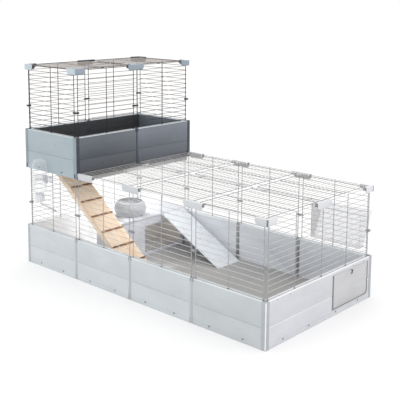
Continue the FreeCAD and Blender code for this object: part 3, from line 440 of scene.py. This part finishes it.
def softened(node, width, segments=2, limit=25.0, others=(), rule=None):
    """A copy of a node with its hard edges rounded, shown in the node's place.

    A rule gives the number of a face's material from the face's middle and normal."""
    bm = bmesh.new()
    bm.from_mesh(nodes[node].data)
    bmesh.ops.remove_doubles(bm, verts=bm.verts, dist=1e-6)
    bmesh.ops.dissolve_limit(bm, angle_limit=math.radians(0.5), verts=bm.verts, edges=bm.edges)
    sharp = [e for e in bm.edges
             if len(e.link_faces) == 2 and e.calc_face_angle() > math.radians(limit)]
    bmesh.ops.bevel(bm, geom=sharp, offset=width, offset_type="OFFSET", segments=segments,
                    profile=0.5, affect="EDGES", clamp_overlap=True)
    bm.normal_update()
    if rule:
        for face in bm.faces:
            face.material_index = rule(face.calc_center_median(), face.normal)
    materials = [nodes[node].data.materials[0]] + list(others)
    obj = new_piece(node + "_moulding", bm, materials, bodies_of[node], 35.0)
    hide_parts(node)


def add_block(bm, middle, size, round_by):
    """A box with rounded edges."""
    place = Matrix.Translation(middle) @ Matrix.Diagonal((*size, 1.0))
    made = bmesh.ops.create_cube(bm, size=1.0, matrix=place)
    edges = list({e for v in made["verts"] for e in v.link_edges})
    bmesh.ops.bevel(bm, geom=edges, offset=round_by, segments=2, profile=0.5, affect="EDGES")


def add_wire(bm, start, end, diameter, look=0, sides=10):
    """A round wire with slightly domed ends."""
    along = (end - start).normalized()
    side = along.orthogonal().normalized()
    other = along.cross(side)
    radius = diameter / 2
    stations = ((0.0, 0.55), (0.35 * radius, 0.88), (radius, 1.0))
    length = (end - start).length
    rings = []
    for offset, share in stations + tuple((length - o, s) for o, s in reversed(stations)):
        ring = []
        for k in range(sides):
            angle = 2 * math.pi * k / sides
            outward = side * math.cos(angle) + other * math.sin(angle)
            ring.append(bm.verts.new(start + along * offset + outward * (radius * share)))
        rings.append(ring)
    for a, b in zip(rings, rings[1:]):
        for k in range(sides):
            j = (k + 1) % sides
            bm.faces.new((a[k], a[j], b[j], b[k])).material_index = look
    bm.faces.new(list(reversed(rings[0]))).material_index = look
    bm.faces.new(rings[-1]).material_index = look


def box_of(node):
    """The lowest and the highest corner of a node's mesh."""
    points = [v.co for v in nodes[node].data.vertices]
    return [Vector([pick(p[k] for p in points) for k in range(3)]) for pick in (min, max)]


# Round wires in the place of the eight-sided ones

DARK_ROWS = 4
FIRST_ROOF_X = -0.175


def uprights(modules):
    """Where the upright wires of a panel stand, from its middle."""
    edge = modules * PITCH / 2 - EDGE_INSET
    return [-edge] + [(k - modules) * PITCH / 2 for k in range(1, 2 * modules)] + [edge]


def wall_place(x, y, z, turn):
    return Matrix.Translation((x, y, z)) @ Matrix.Rotation(math.radians(turn), 4, "Z")


def add_wall(bm, place, modules, dark_rows):
    """A wire wall. Its lowest thin rows can have the look of its thick uprights."""
    end = uprights(modules)[-1] + THICK / 2 + OVERHANG / 2
    step = (WALL_HEIGHT - THIN / 2 - FIRST_WIRE) / (WALL_WIRES - 1)
    for u in uprights(modules):
        add_wire(bm, place @ Vector((u, 0, 0)), place @ Vector((u, 0, WALL_HEIGHT)), THICK)
    for k in range(WALL_WIRES):
        h = FIRST_WIRE + k * step
        start, stop = Vector((-end, -THIN_OFFSET, h)), Vector((end, -THIN_OFFSET, h))
        add_wire(bm, place @ start, place @ stop, THIN, 0 if k < dark_rows else 1)


def add_roof(bm, x, y, z):
    """A wire roof panel: three thick wires along X under a row of wires along Y."""
    half = PITCH / 2 - ROOF_MARGIN
    end = half + OVERHANG
    for v in (-half, 0.0, half):
        add_wire(bm, Vector((x - end, y + v, z)), Vector((x + end, y + v, z)), THICK)
    for k in range(ROOF_WIRES):
        u = x - half + k * 2 * half / (ROOF_WIRES - 1)
        outer = k in (0, ROOF_WIRES - 1)
        size = THICK if outer else ROOF_THIN
        h = z + THICK / 2 + size / 2 - WELD
        add_wire(bm, Vector((u, y - end, h)), Vector((u, y + end, h)), size, 0 if outer else 1)


def walls_of(x0, columns):
    """The side, middle, turn and number of modules of each wall of a storey."""
    x1 = x0 + columns * PITCH
    places = []
    for i in range(columns):
        places.append(("front", x0 + (i + 0.5) * PITCH, FRONT_Y, 0, 1))
        places.append(("rear", x0 + (i + 0.5) * PITCH, REAR_Y, 180, 1))
    for y in (-PITCH / 2, PITCH / 2):
        places.append(("left", x0, y, 270, 1))
        if x1 < RIGHT_X:
            places.append(("right", x1, y, 90, 1))
    if x1 == RIGHT_X:
        places.append(("right", x1, 0.0, 90, 2))
    return places


wire_looks = {"wire_silver": (wire_silver, wire_silver_thin), "wire_dark": (wire_dark, wire_dark_thin)}
roof_looks = {"wire_silver": (wire_silver, roof_silver_thin), "wire_dark": (wire_dark, roof_dark_thin)}
wire_groups = (
    ("lower_front_wires", 4, 0.0, ("front",)), ("lower_rear_wires", 4, 0.0, ("rear",)),
    ("lower_end_wires", 4, 0.0, ("left", "right")), ("upper_end_wires", 1, UPPER_Z, ("front", "rear")),
    ("upper_right_wires", 1, UPPER_Z, ("right",)), ("upper_left_wires", 1, UPPER_Z, ("left",)),
)
for node, columns, level, sides in wire_groups:
    bm = bmesh.new()
    for side, x, y, turn, modules in walls_of(LEFT_X, columns):
        if side in sides:
            dark_rows = DARK_ROWS if level and side in ("front", "right") else 0
            place = wall_place(x, y, level + BASE_HEIGHT - WIRE_SEAT, turn)
            add_wall(bm, place, modules, dark_rows)
    piece = new_piece(node + "_round", bm, wire_looks[slots_of[node]], bodies_of[node])
    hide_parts(node)

roof_xs = [FIRST_ROOF_X + i * PITCH for i in range(3)]
roof_groups = [("lower_roof_flap_%d" % (i + 1), [(x, -PITCH / 2)], LOWER_TOP)
               for i, x in enumerate(roof_xs)]
roof_groups.append(("lower_roof_rear", [(x, PITCH / 2) for x in roof_xs], LOWER_TOP))
roof_groups.append(("upper_roof_flap", [(LEFT_X + PITCH / 2, -PITCH / 2)], UPPER_TOP))
roof_groups.append(("upper_roof_rear", [(LEFT_X + PITCH / 2, PITCH / 2)], UPPER_TOP))
for node, places, top in roof_groups:
    bm = bmesh.new()
    for x, y in places:
        add_roof(bm, x, y, top - ROOF_DROP)
    piece = new_piece(node + "_round", bm, roof_looks[slots_of[node]], bodies_of[node])
    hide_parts(node)


# Rounded mouldings, with painted highlights on rims and painted light and shade on clip ends and inner
# faces

LOWER_MIDDLE, LOWER_HALF = 0.0, RIGHT_X
UPPER_MIDDLE, UPPER_HALF = LEFT_X + PITCH / 2, PITCH / 2
WALL_REACH = 0.03
CLIP_REACH = 0.012
SQUARE_ON = 0.8
RIM_DEPTH = 0.0035
RIM_SLOPE = 0.3
# Left of this x the inner faces of the lower posts get painted light.
PAINTED_LIGHT_X = -0.3
FRONT_POSTS_Y = -0.3
END_SKIN = RIGHT_X + 0.009
PLANK_LINE_LOW, PLANK_LINE_HIGH = 0.0803, 0.0837
FEEDER_END_X = 0.4085
DOOR_SEAM_Y = 0.0795
BOWL_LIP_Z = 0.262

house_low, house_high = box_of("house_walls")
house_x, house_y, _ = (house_low + house_high) / 2
bowl_points = nodes["bowl"].data.vertices
bowl_x, bowl_y = [sum(v.co[k] for v in bowl_points) / len(bowl_points) for k in (0, 1)]


def inward(middle, normal, centre_x, half_x):
    """True for a face of a wall that looks into the cage."""
    on_side = abs(abs(middle.x - centre_x) - half_x) < WALL_REACH
    on_end = abs(abs(middle.y) - REAR_Y) < WALL_REACH
    into_x = -normal.x * math.copysign(1, middle.x - centre_x)
    into_y = -normal.y * math.copysign(1, middle.y)
    return (on_side and into_x > SQUARE_ON) or (on_end and into_y > SQUARE_ON)


def faces_axis(middle, normal, x, y):
    """True for a face that looks towards an upright line."""
    return (middle.x - x) * normal.x + (middle.y - y) * normal.y < 0


# The rim faces are where the painted highlights go.
def on_rim(middle, normal, top):
    return middle.z > top - RIM_DEPTH and normal.z > RIM_SLOPE


def rim_rule(top, pale_inside=False):
    """A base panel's rim, which gets a painted highlight; its inner faces can have painted light of
    their own.
    """
    def rule(middle, normal):
        if on_rim(middle, normal, top):
            return 1
        if pale_inside and inward(middle, normal, LOWER_MIDDLE, LOWER_HALF):
            return 2
        return 0
    return rule


def clip_rule(centre_x, half_x):
    """The clips' faces: painted shade on inner faces and open ends; on front faces, painted shade for
    the lower clips and painted light for the upper ones.
    """
    def rule(middle, normal):
        if inward(middle, normal, centre_x, half_x):
            return 1
        on_side = abs(abs(middle.x - centre_x) - half_x) < CLIP_REACH
        on_end = abs(abs(middle.y) - REAR_Y) < CLIP_REACH
        if on_end and not on_side and abs(normal.x) > SQUARE_ON:
            return 2
        if on_side and not on_end and abs(normal.y) > SQUARE_ON:
            return 2
        return 3 if normal.y < -0.6 else 0
    return rule


def post_rule(middle, normal):
    """The inner faces of the lower posts: darker, painted shade, and near white at the left end,
    painted light.
    """
    if not inward(middle, normal, LOWER_MIDDLE, LOWER_HALF):
        return 0
    return 2 if middle.x < PAINTED_LIGHT_X else 1


def upper_post_rule(middle, normal):
    """The front faces of the upper posts, which look blue like the front panel: a painted highlight.
    """
    return 1 if middle.y < FRONT_POSTS_Y and normal.y < -0.5 else 0


def end_panel_rule(middle, normal):
    """The long end panel has a pale rim and a pale line between its planks: painted highlights."""
    in_line = PLANK_LINE_LOW < middle.z < PLANK_LINE_HIGH and middle.x > END_SKIN
    return 1 if on_rim(middle, normal, BASE_HEIGHT) or in_line else 0


def feeder_rule(middle, normal):
    """The left end of the hay feeder is greyer and less clear than the rest: painted shade."""
    return 1 if middle.x < FEEDER_END_X else 0


def door_rule(middle, normal):
    """The hinge side of the door is darker: painted shade of the gap along the hinge."""
    return 1 if middle.y < DOOR_SEAM_Y else 0


def screw_rule(middle, normal):
    """The screws of the upper panels are dark."""
    return 1 if middle.z > UPPER_Z else 0


def house_rule(middle, normal):
    """The inner faces of the house get a warmer copy of its plastic: painted light inside the house.
    """
    return 1 if faces_axis(middle, normal, house_x, house_y) else 0


def bowl_rule(middle, normal):
    """The inside of the bowl is darker than its outside, painted shade, and its lip is pale, a painted
    highlight.
    """
    if normal.z > 0.7 and middle.z > BOWL_LIP_Z:
        return 2
    return 1 if faces_axis(middle, normal, bowl_x, bowl_y) else 0


# Painted light: the inner faces of these panels are near white.
painted_light_panels = {"lower_base_left_1": panel_pale, "lower_base_left_2": panel_pale,
            "lower_base_rear_1": panel_painted_light}
# Each base panel gets a painted highlight on its rim.
for node in sorted(nodes):
    if node.startswith("lower_base"):
        looks = (front_rim, painted_light_panels.get(node, panel_grey))
        softened(node, 0.0006, others=looks, rule=rim_rule(BASE_HEIGHT, node in painted_light_panels))
    elif node.startswith("upper_base"):
        softened(node, 0.0006, others=(rim_dark,), rule=rim_rule(UPPER_Z + BASE_HEIGHT))
softened("lower_posts", 0.0018, 3, others=(post_inner, panel_pale), rule=post_rule)
softened("upper_posts", 0.0018, 3, others=(post_blue,), rule=upper_post_rule)
# Painted shade on the inner faces and open ends of the clips; painted shade on the front faces of the
# lower clips and painted light on those of the upper ones.
for node in ("lower_joint_clips", "lower_corner_clips"):
    softened(node, 0.0009, others=(clip_inside, clip_end, clip_front),
             rule=clip_rule(LOWER_MIDDLE, LOWER_HALF))
for node in ("upper_joint_clips", "upper_corner_clips"):
    softened(node, 0.0009, others=(clip_brown, tie_dark, clip_blue_front),
             rule=clip_rule(UPPER_MIDDLE, UPPER_HALF))
softened("door_frame_panel", 0.0006, others=(panel_rim,), rule=end_panel_rule)
softened("hay_feeder", 0.0008, others=(feeder_end,), rule=feeder_rule)
softened("door_panel", 0.0008, others=(seam_grey,), rule=door_rule)
softened("base_screws", 0.0002, 1, others=(tie_dark,), rule=screw_rule)
softened("house_walls", 0.0012, others=(house_inner,), rule=house_rule)
for node, width in (("house_roof", 0.0025), ("ramp_deck", 0.0015), ("ramp_stringers", 0.0012),
                    ("ramp_rungs", 0.0018), ("lower_wire_ties", 0.0007), ("upper_wire_ties", 0.0007),
                    ("roof_hinge_ties", 0.0005), ("upper_cross_rail", 0.0006),
                    ("lower_floor_sheets", 0.0008), ("upper_floor_front", 0.0008),
                    ("upper_floor_rear", 0.0008), ("bottle_holder", 0.0006)):
    softened(node, width)
softened("bowl", 0.0012, 2, 40.0, (bowl_inside, bowl_edge), bowl_rule)


# Small details on the wires, clips, posts and rims, with painted shade in the clip ends and post slots
# and painted highlights on the corner posts

CLIP_LENGTH = 0.098
CLIP_LEG = 0.050
CLIP_IN = 0.0058
CLIP_OUT = 0.0008
CLIP_XS = (-0.288, 0.0, PITCH)
RIB_PITCH = 0.014
RIB_WIDE, RIB_DEEP, RIB_TALL = 0.006, 0.0016, 0.011
RIB_DROP = 0.004
PLATE_THICK, PLATE_WIDE, PLATE_TALL = 0.0012, 0.0088, 0.0125
PLATE_DROP = 0.0032
SOCKET_WIDE, SOCKET_LOW, SOCKET_HIGH = 0.0066, -0.001, 0.0028
SLOT_SIZE = (0.010, 0.0012, 0.112)
CORNER_OUT = 0.0056
CORNER_SIZE = (0.0054, 0.0054, 0.025)
BEAD_WIDE = 0.0052
MARK_YS = (-0.295, -0.215, 0.215, 0.295)
MARK_Z = 0.1735
MARK_WIDE = 0.0052


def wire_feet(name, columns, level, material):
    """A short socket in the rim at the foot of each upright wire."""
    bm = bmesh.new()
    for side, x, y, turn, modules in walls_of(LEFT_X, columns):
        place = wall_place(x, y, level + BASE_HEIGHT, turn)
        for u in uprights(modules):
            start, stop = Vector((u, 0, SOCKET_LOW)), Vector((u, 0, SOCKET_HIGH))
            add_wire(bm, place @ start, place @ stop, SOCKET_WIDE, 0, 14)
    new_piece(name, bm, (material,), "cage")


def clip_ribs(name, middles, along_x, inner, level, material):
    """Upright ribs on the inner face of each clip."""
    bm = bmesh.new()
    count = int(CLIP_LENGTH / RIB_PITCH)
    size = (RIB_WIDE, RIB_DEEP, RIB_TALL) if along_x else (RIB_DEEP, RIB_WIDE, RIB_TALL)
    for x, y in middles:
        for k in range(count):
            t = (k - (count - 1) / 2) * RIB_PITCH
            offset = Vector((t, inner, -RIB_DROP)) if along_x else Vector((inner, t, -RIB_DROP))
            add_block(bm, Vector((x, y, level)) + offset, size, 0.0004)
    new_piece(name, bm, (material,), "cage")


def end_plates(name, ends, material):
    """Dark plates that close the open ends of the clips: painted shade of the hollow inside."""
    bm = bmesh.new()
    for x, y, z, along_x in ends:
        wide = (PLATE_THICK, PLATE_WIDE) if along_x else (PLATE_WIDE, PLATE_THICK)
        add_block(bm, Vector((x, y, z - PLATE_DROP)), (*wide, PLATE_TALL), 0.0003)
    new_piece(name, bm, (material,), "cage")


wire_feet("lower_wire_feet", 4, 0.0, socket_grey)
wire_feet("upper_wire_feet", 1, UPPER_Z, tie_dark)
clip_ribs("lower_rear_clip_ribs", [(x, REAR_Y) for x in CLIP_XS], True, -CLIP_IN, LOWER_TOP,
          clip_rib)
clip_ribs("upper_left_clip_ribs", [(LEFT_X, 0.0)], False, CLIP_IN, UPPER_TOP,
          tie_dark)
half_clip = CLIP_LENGTH / 2
lower_ends = [(x + half_clip, FRONT_Y - CLIP_OUT, LOWER_TOP, True) for x in CLIP_XS]
lower_ends.append((RIGHT_X + CLIP_OUT, -half_clip, LOWER_TOP, False))
upper_ends = [(LEFT_X + CLIP_LEG, FRONT_Y - CLIP_OUT, UPPER_TOP, True),
              (UPPER_RIGHT_X + CLIP_OUT, -half_clip, UPPER_TOP, False)]
end_plates("lower_clip_ends", lower_ends, clip_end)
end_plates("upper_clip_ends", upper_ends, tie_dark)

# Dark strips on the inner faces of two rear posts: painted shade of the upright slots there
bm = bmesh.new()
for x in (0.0, PITCH):
    add_block(bm, Vector((x + 0.003, REAR_Y - 0.0121, 0.086)), SLOT_SIZE, 0.0004)
new_piece("post_slots", bm, (slot_dark,), "cage")

# A dark line down the outer edge of the two corner clips at the right end
bm = bmesh.new()
for y in (FRONT_Y, REAR_Y):
    middle = Vector((RIGHT_X + CORNER_OUT, y + math.copysign(CORNER_OUT, y), LOWER_TOP - 0.009))
    add_block(bm, middle, CORNER_SIZE, 0.0008)
new_piece("lower_clip_corner_lines", bm, (clip_end,), "cage")

# A pale bead down the outer edge of each lower corner post: a painted highlight
bm = bmesh.new()
for x in (LEFT_X, RIGHT_X):
    for y in (FRONT_Y, REAR_Y):
        out_x, out_y = x + math.copysign(POST_OUT, x), y + math.copysign(POST_OUT, y)
        size = (BEAD_WIDE, BEAD_WIDE, BASE_HEIGHT - 0.004)
        add_block(bm, Vector((out_x, out_y, BASE_HEIGHT / 2)), size, 0.0014)
new_piece("lower_corner_highlight_beads", bm, (panel_rim,), "cage")

# Small round marks under the rim of the long end panel
bm = bmesh.new()
for y in MARK_YS:
    start, stop = Vector((END_SKIN, y, MARK_Z)), Vector((END_FACE + 0.0004, y, MARK_Z))
    add_wire(bm, start, stop, MARK_WIDE, 0, 14)
new_piece("rim_marks", bm, (seam_grey,), "cage")


# Small details on the door and its latch, both painted shade

EDGE_DEEP = 0.0018
EDGE_WIDE = 0.0026
FOOT_WIDE = 0.0009
LATCH_Y, LATCH_Z = 0.205, 0.1506
CRESCENT_RADIUS = 0.0098
CRESCENT_THICK = 0.0062
CRESCENT_STEPS = 20


def door_edge():
    """The wavy moulded edge round the free side of the door, drawn as a dark strip: painted shade of
    the gap there.
    """
    low, high = box_of("door_panel")
    tall = high.z - low.z
    turn_y, turn_z, bend = high.y - 0.0175, low.z + 0.0165, 0.0145
    path = [(low.y + 0.006, low.z + 0.002), (turn_y, low.z + 0.002)]
    for k in range(1, 7):
        angle = math.radians(-90 + 15 * k)
        path.append((turn_y + bend * math.cos(angle), turn_z + bend * math.sin(angle)))
    for share, inset in ((0.30, 0.003), (0.36, 0.0035), (0.40, 0.0065), (0.44, 0.0065),
                         (0.48, 0.0028), (0.68, 0.0028), (0.72, 0.006), (0.78, 0.006),
                         (0.82, 0.0035), (0.985, 0.003)):
        path.append((high.y - inset, low.z + share * tall))
    bm = bmesh.new()
    for k, ((y0, z0), (y1, z1)) in enumerate(zip(path, path[1:])):
        wide = FOOT_WIDE if k == 0 else EDGE_WIDE
        length = math.hypot(y1 - y0, z1 - z0) + wide * 0.6
        place = Matrix.Translation((high.x - 0.0003, (y0 + y1) / 2, (z0 + z1) / 2))
        place = place @ Matrix.Rotation(math.atan2(z1 - z0, y1 - y0), 4, "X")
        size = Matrix.Diagonal((EDGE_DEEP, length, wide, 1.0))
        bmesh.ops.create_cube(bm, size=1.0, matrix=place @ size)
    new_piece("door_edge", bm, (door_line,), "door")


def latch_crescent():
    """The dark crescent on the face of the latch: painted shade beside the knob."""
    face_x = box_of("door_latch")[1].x
    outer, inner = [], []
    for k in range(CRESCENT_STEPS + 1):
        angle = math.radians(-125 + 250 * k / CRESCENT_STEPS)
        thick = CRESCENT_THICK * math.sin(math.pi * (k + 0.6) / (CRESCENT_STEPS + 1.2))
        for line, radius in ((outer, CRESCENT_RADIUS), (inner, CRESCENT_RADIUS - thick)):
            line.append((LATCH_Y + radius * math.cos(angle), LATCH_Z + radius * math.sin(angle)))
    bm = bmesh.new()
    back, front = [[[bm.verts.new((x, y, z)) for y, z in line] for line in (outer, inner)]
                   for x in (face_x - 0.001, face_x + 0.0006)]
    for k in range(CRESCENT_STEPS):
        bm.faces.new((front[0][k], front[0][k + 1], front[1][k + 1], front[1][k]))
        bm.faces.new((back[0][k + 1], back[0][k], front[0][k], front[0][k + 1]))
        bm.faces.new((back[1][k], back[1][k + 1], front[1][k + 1], front[1][k]))
    new_piece("latch_crescent", bm, (tie_dark,), "latch")


door_edge()
latch_crescent()


# Floor, light and camera

FLOOR_HALF = 30.0
FLOOR_Z = -0.0006
FLOOR_PAINT = (0.8, 0.8, 0.8, 1.0)
FLOOR_GLOW = 0.17
WORLD_LIGHT = 1.1
WORLD_SEEN = 1.0
PHOTO_PIXELS = 400
FOCAL_PIXELS = 790.6
SENSOR = 36.0
SHIFT_Y = -0.2
AZIMUTH = math.radians(42.423)
TILT = math.radians(90 - 8.846)
ROLL = math.radians(0.411)
CAMERA_PLACE = (2.3290, -2.4847, 1.2475)


def white_light(tree, kind, strength):
    node = tree.nodes.new(kind)
    node.inputs["Color"].default_value = (1.0, 1.0, 1.0, 1.0)
    node.inputs["Strength"].default_value = strength
    return node.outputs[0]


def seen_or_not(tree, unseen, seen):
    """One shader for rays seen straight, mirrored or through clear plastic, and one for the rest."""
    path = tree.nodes.new("ShaderNodeLightPath")
    share = path.outputs["Is Camera Ray"]
    for kind in ("Is Glossy Ray", "Is Transmission Ray"):
        either = tree.nodes.new("ShaderNodeMath")
        either.operation = "MAXIMUM"
        tree.links.new(share, either.inputs[0])
        tree.links.new(path.outputs[kind], either.inputs[1])
        share = either.outputs[0]
    mix = tree.nodes.new("ShaderNodeMixShader")
    for k, source in enumerate((share, unseen, seen)):
        tree.links.new(source, mix.inputs[k])
    return mix.outputs[0]


def stage_floor():
    """A pale floor that glows a little where it is seen."""
    mesh = bpy.data.meshes.new("studio_floor")
    corners = [(x * FLOOR_HALF, y * FLOOR_HALF, 0) for x, y in ((-1, -1), (1, -1), (1, 1), (-1, 1))]
    mesh.from_pydata(corners, [], [(0, 1, 2, 3)])
    floor = bpy.data.objects.new("studio_floor", mesh)
    floor.location.z = FLOOR_Z
    bpy.context.scene.collection.objects.link(floor)
    material = bpy.data.materials.new("studio_floor")
    material.use_nodes = True
    tree = material.node_tree
    tree.nodes.clear()
    output = tree.nodes.new("ShaderNodeOutputMaterial")
    paint = tree.nodes.new("ShaderNodeBsdfDiffuse")
    paint.inputs["Color"].default_value = FLOOR_PAINT
    none = white_light(tree, "ShaderNodeEmission", 0.0)
    glow = white_light(tree, "ShaderNodeEmission", FLOOR_GLOW)
    total = tree.nodes.new("ShaderNodeAddShader")
    tree.links.new(paint.outputs[0], total.inputs[0])
    tree.links.new(seen_or_not(tree, none, glow), total.inputs[1])
    tree.links.new(total.outputs[0], output.inputs["Surface"])
    mesh.materials.append(material)


def studio_world():
    """White light from all round, a little stronger than the white that is seen."""
    world = bpy.data.worlds.new("studio")
    bpy.context.scene.world = world
    world.use_nodes = True
    tree = world.node_tree
    tree.nodes.clear()
    output = tree.nodes.new("ShaderNodeOutputWorld")
    light = white_light(tree, "ShaderNodeBackground", WORLD_LIGHT)
    white = white_light(tree, "ShaderNodeBackground", WORLD_SEEN)
    tree.links.new(seen_or_not(tree, light, white), output.inputs["Surface"])


def soft_lamp(name, place, aim, size, power):
    data = bpy.data.lights.new(name, "AREA")
    data.shape = "DISK"
    data.size = size
    data.energy = power
    lamp = bpy.data.objects.new(name, data)
    lamp.location = place
    lamp.rotation_mode = "QUATERNION"
    lamp.rotation_quaternion = (Vector(aim) - Vector(place)).to_track_quat("-Z", "Y")
    lamp.visible_camera = False
    bpy.context.scene.collection.objects.link(lamp)


stage_floor()
studio_world()
soft_lamp("key", (2.5, -1.5, 4.0), (0.0, 0.0, 0.3), 3.0, 16.0)
soft_lamp("fill", (-2.5, -3.6, 2.0), (-0.2, 0.0, 0.3), 2.5, 8.0)
soft_lamp("den_fill", (-0.62, 0.14, 0.44), (-0.62, 0.12, 0.0), 0.16, 1.65)
soft_lamp("run_fill", (-0.20, -0.02, 0.42), (-0.42, 0.12, -0.10), 0.2, 0.4)
soft_lamp("house_fill", (-0.42, 0.20, 0.185), (-0.42, 0.20, 0.0), 0.10, 0.09)
soft_lamp("ramp_fill", (-0.15, 0.0, 0.05), (-0.28, 0.16, 0.09), 0.08, 0.06)

camera_data = bpy.data.cameras.new("camera")
camera_data.sensor_width = SENSOR
camera_data.lens = FOCAL_PIXELS * SENSOR / PHOTO_PIXELS
camera_data.shift_y = SHIFT_Y
camera_data.clip_end = 100.0
camera = bpy.data.objects.new("camera", camera_data)
bpy.context.scene.collection.objects.link(camera)
turn = Matrix.Rotation(AZIMUTH, 4, "Z") @ Matrix.Rotation(TILT, 4, "X") @ Matrix.Rotation(ROLL, 4, "Z")
camera.matrix_world = Matrix.Translation(CAMERA_PLACE) @ turn
bpy.context.scene.camera = camera
bpy.context.scene.view_settings.view_transform = "Standard"
